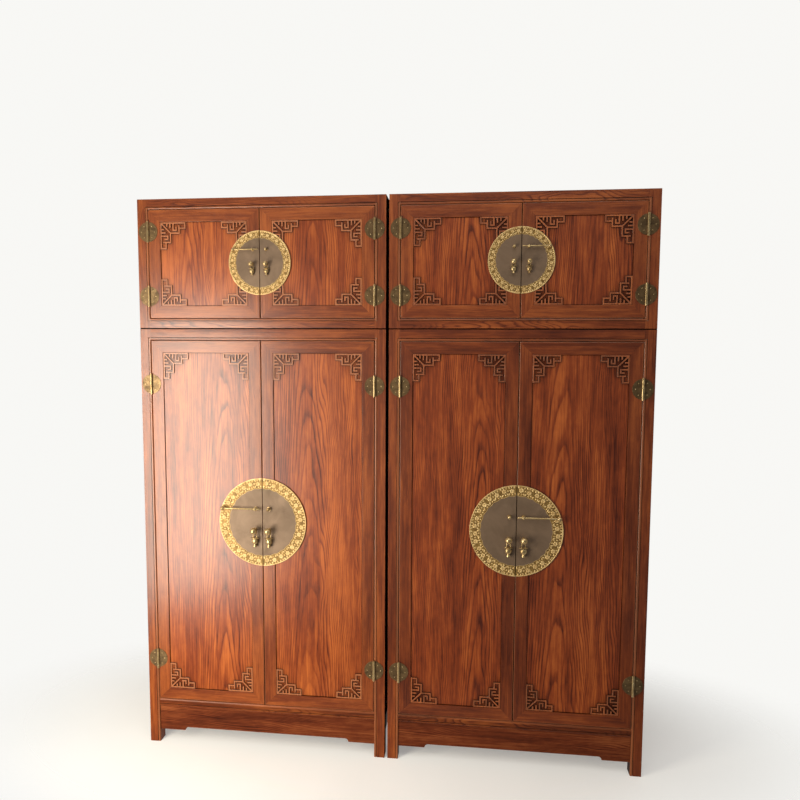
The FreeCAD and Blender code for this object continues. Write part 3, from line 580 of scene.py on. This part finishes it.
def panel_touch(door):
    """Shade is painted along the frame and between the scrolls; their tops are painted paler, as rub and
    sheen.
    """
    low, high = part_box(f"{door}_frame")
    inset = MEMBER + EDGE_STRIP
    tower = door.split("_")[0]

    def from_frame(place):
        """How far a place lies from the nearer stile and from the nearer rail."""
        across = min(place.x - low.x, high.x - place.x)
        along = min(place.z - low.z, high.z - place.z)
        return across - MEMBER, along - MEMBER

    def touched(face, corner):
        middle = face.calc_center_median()
        if middle.y < SCROLL_TOP:
            return SCROLL_RUB_AND_SHEEN[tower]
        if middle.y < PANEL_FACE - FLATNESS:
            return SCROLL_SIDE_SHADE
        if middle.y > PANEL_FACE + FLATNESS:
            return None
        if min(from_frame(middle)) < EDGE_STRIP:
            return STRIP_SHADE
        if sum(from_frame(middle)) < CARVED:
            return CARVED_SHADE[tower] * min(0.0, sum(from_frame(corner)) / CARVED - 1.0)
        return None

    cuts = [((low.x + inset, 0, 0), (1, 0, 0)), ((high.x - inset, 0, 0), (1, 0, 0)),
            ((0, 0, low.z + inset), (0, 0, 1)), ((0, 0, high.z - inset), (0, 0, 1))]
    for x, to_right in ((low.x + MEMBER, 1), (high.x - MEMBER, -1)):
        for z, up in ((low.z + MEMBER, 1), (high.z - MEMBER, -1)):
            cuts.append(((x + to_right * CARVED, 0, z), (to_right, 0, up)))
    return touched, cuts


for door in DOORS:
    touched, cuts = panel_touch(door)
    timber(f"{door}_panel", panel_elm, "panel_elm", along=2, ease=0.0010, stain=stain_of(door),
           touched=touched, cuts=cuts)


# Round plate hinges: half discs of aged brass nailed to post and door, with a rolled barrel
# between them that has been polished by handling.
def patina_group():
    """Tarnish that comes and goes, fine scuffs, and a hammered unevenness."""
    group = bpy.data.node_groups.new("patina", "ShaderNodeTree")
    group.interface.new_socket(name="Place", in_out="INPUT", socket_type="NodeSocketVector")
    group.interface.new_socket(name="Patch Size", in_out="INPUT", socket_type="NodeSocketFloat")
    for name in ("Tarnish", "Scuff", "Height"):
        group.interface.new_socket(name=name, in_out="OUTPUT", socket_type="NodeSocketFloat")
    given = group.nodes.new("NodeGroupInput").outputs
    finer = sums(group, "DIVIDE", 1.0, given["Patch Size"])
    feeds = {0: given["Place"], "Scale": finer}
    patch = add(group, "ShaderNodeVectorMath", feeds, operation="SCALE").outputs[0]
    cloud = mottle(group, patch, 4.0, 0.6, 0.6)
    tarnish = add(group, "ShaderNodeMapRange", {0: cloud, 1: 0.34, 2: 0.68}).outputs[0]
    brush = mottle(group, stretched(group, given["Place"], 60, 1200, 1600), 2.0, 0.6)
    scuff = add(group, "ShaderNodeMapRange", {0: brush, 1: 0.3, 2: 0.7}).outputs[0]
    uneven = mottle(group, stretched(group, given["Place"], 260, 260, 260), 2.0)
    height = sums(group, "MULTIPLY_ADD", scuff, 0.3, uneven)
    add(group, "NodeGroupOutput", {"Tarnish": tarnish, "Scuff": scuff, "Height": height})
    return group


patina = patina_group()


def brass(name, clean, tarnished, patch, rough, metal):
    """Brass that is tarnished in patches of this size, and rougher there; dirt has stayed in corners."""
    finish = bpy.data.materials.new(name)
    finish.use_nodes = True
    tree = finish.node_tree
    tree.nodes.clear()
    place = add(tree, "ShaderNodeTexCoord", {}).outputs["Object"]
    aged = add(tree, "ShaderNodeGroup", {"Place": place, "Patch Size": patch}, node_tree=patina).outputs
    colour = mixed(tree, aged["Tarnish"], clean, tarnished)
    corner = add(tree, "ShaderNodeAmbientOcclusion", {"Distance": 0.004}, samples=6, only_local=True)
    shade_and_grime = shades(tree, corner.outputs["AO"], [(0.1, grey(0.30)), (0.9, grey(1.0))])
    colour = mixed(tree, 1.0, colour, shade_and_grime, "MULTIPLY")
    smooth, dull = rough
    uneven = sums(tree, "MULTIPLY_ADD", aged["Tarnish"], dull - smooth, smooth)
    uneven = sums(tree, "MULTIPLY_ADD", aged["Scuff"], 0.08, uneven)
    relief = add(tree, "ShaderNodeBump", {"Strength": 0.10, "Distance": 0.0005, "Height": aged["Height"]})
    feeds = {"Base Color": colour, "Roughness": uneven, "Metallic": metal, "Normal": relief.outputs[0]}
    surface = add(tree, "ShaderNodeBsdfPrincipled", feeds)
    add(tree, "ShaderNodeOutputMaterial", {"Surface": surface.outputs[0]})
    return finish


bright_brass = brass("bright_brass", pigment(222, 196, 144), pigment(168, 136, 88),
                     patch=0.016, rough=(0.22, 0.36), metal=0.80)
hinge_brass = brass("hinge_brass", pigment(136, 110, 74), pigment(86, 67, 44),
                    patch=0.022, rough=(0.34, 0.46), metal=0.65)


def garland_tree():
    """Sets copies of a unit round an arc in the plane of the doors, every second one turned over."""
    tree = bpy.data.node_groups.new("set_round_an_arc", "GeometryNodeTree")
    tree.interface.new_socket(name="Geometry", in_out="OUTPUT", socket_type="NodeSocketGeometry")
    inputs = (("Unit", "NodeSocketObject"), ("Count", "NodeSocketInt"), ("Arc Radius", "NodeSocketFloat"),
              ("First Angle", "NodeSocketFloat"), ("Step Angle", "NodeSocketFloat"),
              ("Turn Over", "NodeSocketFloat"), ("Centre", "NodeSocketVector"),
              ("Unit Scale", "NodeSocketFloat"), ("Finish", "NodeSocketMaterial"))
    for name, kind in inputs:
        tree.interface.new_socket(name=name, in_out="INPUT", socket_type=kind)
    given = tree.nodes.new("NodeGroupInput").outputs
    index = add(tree, "GeometryNodeInputIndex", {}).outputs[0]
    angle = sums(tree, "MULTIPLY_ADD", index, given["Step Angle"], given["First Angle"])
    x = sums(tree, "MULTIPLY", sums(tree, "COSINE", angle), given["Arc Radius"])
    z = sums(tree, "MULTIPLY", sums(tree, "SINE", angle), given["Arc Radius"])
    spot = add(tree, "ShaderNodeCombineXYZ", {"X": x, "Z": z}).outputs[0]
    spot = add(tree, "ShaderNodeVectorMath", {0: spot, 1: given["Centre"]}, operation="ADD").outputs[0]
    odd = sums(tree, "MULTIPLY", sums(tree, "MODULO", index, 2.0), given["Turn Over"])
    turn = sums(tree, "ADD", sums(tree, "SUBTRACT", math.pi / 2, angle), odd)
    turn = add(tree, "ShaderNodeCombineXYZ", {"Y": turn}).outputs[0]
    turn = add(tree, "FunctionNodeEulerToRotation", {0: turn}).outputs[0]
    line = add(tree, "GeometryNodeMeshLine", {"Count": given["Count"], "Offset": (0.0, 0.0, 0.0)})
    points = add(tree, "GeometryNodeSetPosition", {"Geometry": line.outputs[0], "Position": spot})
    unit = add(tree, "GeometryNodeObjectInfo", {"Object": given["Unit"], "As Instance": True})
    copies = add(tree, "GeometryNodeInstanceOnPoints",
                 {"Points": points.outputs[0], "Instance": unit.outputs["Geometry"], "Rotation": turn,
                  "Scale": given["Unit Scale"]})
    real = add(tree, "GeometryNodeRealizeInstances", {"Geometry": copies.outputs[0]})
    finished = add(tree, "GeometryNodeSetMaterial",
                   {"Geometry": real.outputs[0], "Material": given["Finish"]})
    add(tree, "NodeGroupOutput", {0: finished.outputs[0]})
    return tree


garland = garland_tree()


def set_round(work, unit, finish, count, radius, first, step, centre, scale=1.0, turn_over=0.0):
    """Add to work the copies that the garland tree sets round an arc."""
    carrier = bpy.data.objects.new("carrier", bpy.data.meshes.new("carrier"))
    bpy.context.scene.collection.objects.link(carrier)
    placed = carrier.modifiers.new("garland", "NODES")
    placed.node_group = garland
    values = {"Unit": unit, "Count": count, "Arc Radius": radius, "First Angle": first, "Step Angle": step,
              "Turn Over": turn_over, "Centre": tuple(centre), "Unit Scale": scale, "Finish": finish}
    for socket in garland.interface.items_tree:
        if socket.in_out == "INPUT":
            placed[socket.identifier] = values[socket.name]
    bpy.context.view_layer.update()
    solved = carrier.evaluated_get(bpy.context.evaluated_depsgraph_get())
    made = bpy.data.meshes.new_from_object(solved)
    work.from_mesh(made)
    bpy.data.objects.remove(carrier)
    bpy.data.meshes.remove(made)


def loose_unit(name, work):
    """A pattern piece for the garland tree; it is removed again when the copies are made."""
    mesh = bpy.data.meshes.new(name)
    work.to_mesh(mesh)
    work.free()
    unit = bpy.data.objects.new(name, mesh)
    bpy.context.scene.collection.objects.link(unit)
    return unit


NAIL_RADIUS = 0.0022
NAIL_SIDES = 10
NAIL_TOP = 0.0012
# the domed head as (rise, share of the radius)
NAIL_RINGS = ((-0.0004, 1.0), (0.0003, 1.0), (0.0008, 0.78), (0.0011, 0.4))


def nail_unit():
    work = bmesh.new()
    turns = [2 * math.pi * n / NAIL_SIDES for n in range(NAIL_SIDES)]
    loops = []
    for rise, share in NAIL_RINGS:
        reach = share * NAIL_RADIUS
        loops.append([work.verts.new((reach * math.cos(t), -rise, reach * math.sin(t))) for t in turns])
    for lower, upper in zip(loops, loops[1:]):
        for n in range(NAIL_SIDES):
            after = (n + 1) % NAIL_SIDES
            work.faces.new((lower[n], lower[after], upper[after], upper[n]))
    top = work.verts.new((0, -NAIL_TOP, 0))
    for n in range(NAIL_SIDES):
        work.faces.new((loops[-1][n], loops[-1][(n + 1) % NAIL_SIDES], top))
    work.faces.new(loops[0])
    bmesh.ops.recalc_face_normals(work, faces=work.faces)
    smooth_by_angle(work, limit=0.9)
    return loose_unit("nail", work)


nail = nail_unit()


def middle_of(board):
    """The middle of a board's box, and its size."""
    corners = [vert.co for face in board for vert in face.verts]
    low = Vector([min(c[axis] for c in corners) for axis in range(3)])
    high = Vector([max(c[axis] for c in corners) for axis in range(3)])
    return (low + high) / 2, high - low


HINGE_RADIUS = 0.039
# leaves and pins are this high at least and at most, and only leaves are this wide
HINGE_LOW, HINGE_HIGH, LEAF_WIDE = 0.076, 0.087, 0.012
BARREL_RADIUS = 0.0047
LEAF_FACE = FACE_Y - 0.0016
LEAF_EASE, LEAF_SHARP = 0.0003, 1.2
NAILS, NAIL_STEP, NAIL_ARC = 3, 0.95, 0.69 * HINGE_RADIUS
PIN_OFFSET = 0.456
HINGE_AXES = [middle + way * PIN_OFFSET for middle in TOWER_MIDDLE.values() for way in (-1, 1)]


def hinge_near(x):
    return min(HINGE_AXES, key=lambda axis: abs(x - axis))


def hinge_leaves(node, name):
    """The leaves and pins of one node, with nails round the outside of each leaf."""
    work = welded(node)
    leaves = []
    for board in boards_in(work):
        middle, spread = middle_of(board)
        if not HINGE_LOW < spread.z < HINGE_HIGH:
            bmesh.ops.delete(work, geom=board, context="FACES")
        elif spread.x > LEAF_WIDE:
            leaves.append(middle)
    ease_edges(work, arrises(work, LEAF_SHARP), LEAF_EASE)
    smooth_by_angle(work)
    for face in work.faces:
        middle = face.calc_center_median()
        on_barrel = abs(middle.x - hinge_near(middle.x)) < BARREL_RADIUS and middle.y < LEAF_FACE
        face.material_index = int(on_barrel)
    for middle in leaves:
        hinge = hinge_near(middle.x)
        outwards = 0.0 if middle.x > hinge else math.pi
        set_round(work, nail, hinge_brass, NAILS, NAIL_ARC, outwards - NAIL_STEP, NAIL_STEP,
                  (hinge, LEAF_FACE, middle.z))
    return settle(work, name, [hinge_brass, bright_brass], "aged_brass", body_of(node))


for tower in TOWERS:
    for kind in KINDS:
        node = f"{tower}_{kind}_hinge_leaves"
        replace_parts(hinge_leaves(node, f"{node}_brass"), node)
for door in DOORS:
    hinge_leaves(f"{door}_brass", f"{door}_hinge_leaves")
bpy.data.objects.remove(nail)


# Split round plates: two half discs of brass nailed over the meeting doors. A dark brushed
# field lies inside a gilt band with a raised rim, chased with flowers and leaves.
plate_field = brass("plate_field", pigment(134, 110, 88), pigment(112, 91, 71),
                    patch=0.09, rough=(0.46, 0.58), metal=0.35)
plate_ground = brass("plate_ground", pigment(168, 132, 70), pigment(112, 84, 42),
                     patch=0.012, rough=(0.40, 0.55), metal=0.45)
gilt = brass("gilt", pigment(240, 208, 146), pigment(200, 160, 98),
             patch=0.014, rough=(0.28, 0.42), metal=0.34)
PLATE_FINISHES = (gilt, plate_ground, plate_field)
RIM, BAND, FIELD = range(3)
BAND_RISE, FIELD_RISE = 0.0013, 0.0016
# radius of each plate and height of its middle
PLATE = {"cabinet": (0.180, 0.961), "chest": (0.125, 1.997)}
DRAWN_RADIUS = 0.18
FIELD_SHARE, VINE_SHARE = 0.765, 0.884
MEETING_EDGE = 0.0015
STEPS = 240
LOBES, LOBE = 28, 0.0012


def half_plate(work, kind, tower, side):
    """One half of the lathe-turned plate, cut off at the meeting edge of its door."""
    radius, height = PLATE[kind]
    inner = FIELD_SHARE * radius
    lobe = LOBE * radius / DRAWN_RADIUS
    rim = [(radius, 0.0), (radius, 0.0012), (radius - 0.0004, 0.0019), (radius - 0.0014, 0.0023),
           (radius - 0.0026, 0.00235), (radius - 0.0036, 0.0020), (radius - 0.0042, BAND_RISE)]
    ridge = [(inner + 0.0012, BAND_RISE), (inner + 0.0007, 0.0019), (inner + 0.0003, 0.0019),
             (inner, FIELD_RISE)]
    field = [(0.6 * inner, FIELD_RISE), (0.25 * inner, FIELD_RISE)]
    centre = Vector((TOWER_MIDDLE[tower], FACE_Y, height))
    loops = []
    for number, (r, rise) in enumerate(rim + ridge + field):
        wavy = lobe if len(rim) <= number < len(rim) + len(ridge) else 0.0
        loop = []
        for step in range(STEPS):
            t = 2 * math.pi * step / STEPS
            reach = r + wavy * math.cos(LOBES * t)
            loop.append(work.verts.new(centre + Vector((reach * math.cos(t), -rise, reach * math.sin(t)))))
        loops.append(loop)
    for number, (outer, within) in enumerate(zip(loops, loops[1:])):
        zone = RIM
        if number == len(rim) - 1:
            zone = BAND
        elif number >= len(rim) + len(ridge) - 1:
            zone = FIELD
        for n in range(STEPS):
            face = work.faces.new((outer[n], outer[(n + 1) % STEPS], within[(n + 1) % STEPS], within[n]))
            face.material_index = zone
    front = work.verts.new(centre + Vector((0, -FIELD_RISE, 0)))
    back = work.verts.new(centre)
    for n in range(STEPS):
        work.faces.new((loops[-1][n], loops[-1][(n + 1) % STEPS], front)).material_index = FIELD
        work.faces.new((loops[0][(n + 1) % STEPS], loops[0][n], back)).material_index = BAND
    bmesh.ops.recalc_face_normals(work, faces=work.faces)
    way = -1 if side == "left" else 1
    bmesh.ops.bisect_plane(work, geom=[*work.verts, *work.edges, *work.faces], dist=1e-7,
                           plane_co=centre + Vector((way * MEETING_EDGE, 0, 0)), plane_no=(-way, 0, 0),
                           clear_outer=True)
    bmesh.ops.holes_fill(work, edges=[e for e in work.edges if e.is_boundary])
    bmesh.ops.recalc_face_normals(work, faces=work.faces)


def pillow(work, outline, crown):
    """A low crowned relief on an outline of (along, out) points, in the plane of the doors."""
    count = len(outline)
    middle = Vector((sum(x for x, _ in outline) / count, 0, sum(z for _, z in outline) / count))
    raised = Vector((0, -0.8 * crown, 0))
    foot = [work.verts.new((x, 0.0002, z)) for x, z in outline]
    brow = [work.verts.new(middle.lerp(Vector((x, 0, z)), 0.72) + raised) for x, z in outline]
    top = work.verts.new(middle + Vector((0, -crown, 0)))
    faces = [work.faces.new((foot[n], foot[(n + 1) % count], brow[(n + 1) % count], brow[n]))
             for n in range(count)]
    faces += [work.faces.new((brow[n], brow[(n + 1) % count], top)) for n in range(count)]
    faces.append(work.faces.new(foot[::-1]))
    bmesh.ops.recalc_face_normals(work, faces=faces)


def leaf(work, root, heading, length, width, curl, crown):
    """A pointed leaf that bends to one side."""
    spine = []
    x, z = root
    turn = heading
    pieces = 5
    for n in range(pieces + 1):
        spine.append((x, z, turn))
        x += length / pieces * math.cos(turn)
        z += length / pieces * math.sin(turn)
        turn += curl / pieces
    half = [width * math.sin(math.pi * (0.12 + 0.88 * n / pieces)) for n in range(pieces + 1)]
    left = [(px - h * math.sin(t), pz + h * math.cos(t)) for (px, pz, t), h in zip(spine, half)]
    right = [(px + h * math.sin(t), pz - h * math.cos(t)) for (px, pz, t), h in zip(spine, half)]
    pillow(work, left[:-1] + [spine[-1][:2]] + right[:-1][::-1], crown)


def vine_unit():
    """A broad flower between large leaves, 31 mm long, that fills the width of the band."""
    work = bmesh.new()
    crown, bud = 0.0010, -0.0020
    for petal in range(6):
        t = math.radians(30 + 60 * petal)
        leaf(work, (0.0022 * math.cos(t), bud + 0.0022 * math.sin(t)), t, 0.0082, 0.0040, 0.0, crown)
    turns = [math.radians(60 * n) for n in range(6)]
    pillow(work, [(0.0028 * math.cos(t), bud + 0.0028 * math.sin(t)) for t in turns], crown)
    # place along the band and across it, heading, length, width and curl of each leaf
    leaves = ((-0.0065, 0.0090, 2.5, 0.0125, 0.0034, -0.9), (0.0062, 0.0086, 0.75, 0.0120, 0.0032, 0.9),
              (-0.0020, 0.0100, 1.35, 0.0075, 0.0028, 0.4), (-0.0088, -0.0078, -2.3, 0.0110, 0.0032, 1.1),
              (0.0085, -0.0086, -0.9, 0.0115, 0.0034, -1.1), (0.0004, -0.0124, -1.5, 0.0072, 0.0030, 0.3),
              (-0.0125, 0.0010, 3.0, 0.0060, 0.0026, 0.5))
    for x, z, heading, length, width, curl in leaves:
        leaf(work, (x, z), heading, length, width, curl, 0.9 * crown)
    bmesh.ops.recalc_face_normals(work, faces=work.faces)
    smooth_by_angle(work, limit=0.8)
    return loose_unit("vine_bow", work)


vine = vine_unit()
UNITS = 16
END_ANGLE = 0.015
for door in DOORS:
    tower, kind, side, _ = door.split("_")
    node = f"{door}_brass"
    work = bmesh.new()
    half_plate(work, kind, tower, side)
    smooth_by_angle(work)
    even_light(settle(work, f"{door}_half_plate", PLATE_FINISHES, "aged_brass", body_of(node), node))

    radius, height = PLATE[kind]
    arc = VINE_SHARE * radius
    step = (math.pi - 2 * END_ANGLE) / UNITS
    start = (math.pi / 2 if side == "left" else -math.pi / 2) + END_ANGLE + step / 2
    work = bmesh.new()
    set_round(work, vine, gilt, UNITS, arc, start, step, (TOWER_MIDDLE[tower], FACE_Y - BAND_RISE, height),
              scale=radius / DRAWN_RADIUS, turn_over=math.pi)
    settle(work, f"{door}_plate_vine", [gilt], "bright_brass", body_of(node))
bpy.data.objects.remove(vine)


# Latch eyes and pull knobs: cast brass posts riveted through the plates. The eyes are bored
# for the latch pin, the knobs for the wire of the drop pull.
# posts stand out at least this far, and are no higher than this
POST_DEPTH, POST_HIGH = 0.010, 0.05
for door in DOORS:
    node = f"{door}_brass"
    work = welded(node)
    for board in boards_in(work):
        _, spread = middle_of(board)
        if spread.y < POST_DEPTH or spread.z > POST_HIGH:
            bmesh.ops.delete(work, geom=board, context="FACES")
    smooth_by_angle(work)
    settle(work, f"{door}_posts", [bright_brass], "bright_brass", body_of(node))


# Latch pins: a drawn brass rod with a ball at one end and a blunt point at the other, sliding
# in the eyes.
for tower in TOWERS:
    for kind in KINDS:
        node = f"{tower}_{kind}_latch_pin"
        work = welded(node)
        smooth_by_angle(work)
        settle(work, f"{node}_brass", [bright_brass], "bright_brass", body_of(node), node)


# Drop pulls: a cast brass drop shaped like a small vase, hung on a bent wire through the
# knob, in which it swings.
for door in DOORS:
    node = f"{door.removesuffix('_door')}_pull"
    work = welded(node)
    smooth_by_angle(work)
    settle(work, f"{node}_brass", [bright_brass], "bright_brass", body_of(node), node)


# Floor: a plain pale studio floor under the feet, which fades into the background within
# a metre or two of the object.
def seen_directly(tree):
    """One for what is looked at, mirrored or seen through, and zero for scattered light."""
    path = add(tree, "ShaderNodeLightPath", {}).outputs
    mirrored = sums(tree, "MAXIMUM", path["Is Glossy Ray"], path["Is Transmission Ray"])
    return sums(tree, "MAXIMUM", path["Is Camera Ray"], mirrored)


def studio_floor():
    finish = bpy.data.materials.new("studio_floor")
    finish.use_nodes = True
    tree = finish.node_tree
    tree.nodes.clear()
    place = add(tree, "ShaderNodeTexCoord", {}).outputs["Object"]
    speck = mottle(tree, stretched(tree, place, 1.3, 1.3, 1.3), 3.0)
    colour = shades(tree, speck, [(0.3, pigment(226, 224, 218)), (0.7, pigment(236, 235, 230))])
    broad = stretched(tree, place, 0.45, 1.0, 1.0)
    reach = add(tree, "ShaderNodeVectorMath", {0: broad}, operation="LENGTH").outputs["Value"]
    fade = add(tree, "ShaderNodeMapRange", {0: reach, 1: 0.42, 2: 0.95},
               interpolation_type="SMOOTHSTEP").outputs[0]
    ground = add(tree, "ShaderNodeBsdfPrincipled",
                 {"Base Color": colour, "Roughness": 0.85, "Specular IOR Level": 0.1})
    glow = sums(tree, "MULTIPLY", seen_directly(tree), 0.28)
    pale = add(tree, "ShaderNodeEmission", {"Color": pigment(255, 253, 249), "Strength": glow})
    bright = add(tree, "ShaderNodeAddShader", {0: ground.outputs[0], 1: pale.outputs[0]})
    clear = add(tree, "ShaderNodeBsdfTransparent", {})
    both = add(tree, "ShaderNodeMixShader", {0: fade, 1: bright.outputs[0], 2: clear.outputs[0]})
    add(tree, "ShaderNodeOutputMaterial", {"Surface": both.outputs[0]})
    return finish


floor_work = bmesh.new()
bmesh.ops.create_circle(floor_work, cap_ends=True, radius=5.0, segments=96)
floor_mesh = bpy.data.meshes.new("floor")
floor_work.to_mesh(floor_mesh)
floor_work.free()
floor_mesh.materials.append(studio_floor())
floor = bpy.data.objects.new("floor", floor_mesh)
floor.location.z = -0.0005
bpy.context.scene.collection.objects.link(floor)


# Studio light: a tall window to the left whose sheen lies on the left tower, a soft overhead
# fill, and a pale room that is dimmer behind the viewer.
def pale_room():
    room = bpy.data.worlds.new("pale_room")
    bpy.context.scene.world = room
    room.use_nodes = True
    tree = room.node_tree
    tree.nodes.clear()
    heading = add(tree, "ShaderNodeTexCoord", {}).outputs["Generated"]
    ahead = add(tree, "ShaderNodeSeparateXYZ", {0: heading}).outputs["Y"]
    pale = (0.94, 0.935, 0.91, 1.0)
    forward = sums(tree, "MULTIPLY_ADD", ahead, 0.5, 0.5)
    mirrored = shades(tree, forward, [(0.20, grey(0.06)), (0.62, pale)])
    watched = add(tree, "ShaderNodeLightPath", {}).outputs["Is Camera Ray"]
    seen = mixed(tree, watched, mirrored, pale)
    shown = add(tree, "ShaderNodeBackground", {"Color": seen, "Strength": 1.0})
    lit = add(tree, "ShaderNodeBackground", {"Color": (1.0, 0.98, 0.95, 1.0), "Strength": 0.30})
    feeds = {0: seen_directly(tree), 1: lit.outputs[0], 2: shown.outputs[0]}
    both = add(tree, "ShaderNodeMixShader", feeds)
    add(tree, "ShaderNodeOutputWorld", {"Surface": both.outputs[0]})


pale_room()


def panel_light(name, place, aim, width, height, power, colour):
    lamp = bpy.data.lights.new(name, "AREA")
    lamp.shape = "RECTANGLE"
    lamp.size = width
    lamp.size_y = height
    lamp.energy = power
    lamp.color = colour
    hung = bpy.data.objects.new(name, lamp)
    hung.location = place
    hung.rotation_euler = (Vector(aim) - Vector(place)).to_track_quat("-Z", "Y").to_euler()
    hung.visible_camera = False
    bpy.context.scene.collection.objects.link(hung)


panel_light("window", (-1.38, -1.60, 1.03), (-0.6, -0.26, 1.11), 0.75, 1.78, 47, (1.0, 0.93, 0.79))
panel_light("overhead", (0.2, -2.6, 4.6), (0.0, -0.2, 1.0), 3.4, 2.0, 46, (1.0, 0.97, 0.93))


# Camera: at standing eye height, a little to the right of the middle and turned a little to
# the left, with the photograph's wide view.
eye = bpy.data.cameras.new("eye")
eye.sensor_width = 36.0
eye.lens = 28.597
eye.clip_start = 0.05
eye.clip_end = 60.0
viewer = bpy.data.objects.new("viewer", eye)
right = (0.99408, 0.10849, 0.00511)
down = (0.01345, -0.07621, -0.997)
ahead = (-0.10778, 0.99117, -0.07722)
stand = (0.3172, -2.7107, 1.6557)
rows = [[right[n], -down[n], -ahead[n], stand[n]] for n in range(3)]
viewer.matrix_world = Matrix([*rows, [0.0, 0.0, 0.0, 1.0]])
bpy.context.scene.collection.objects.link(viewer)
bpy.context.scene.camera = viewer
bpy.context.scene.view_settings.view_transform = "Standard"
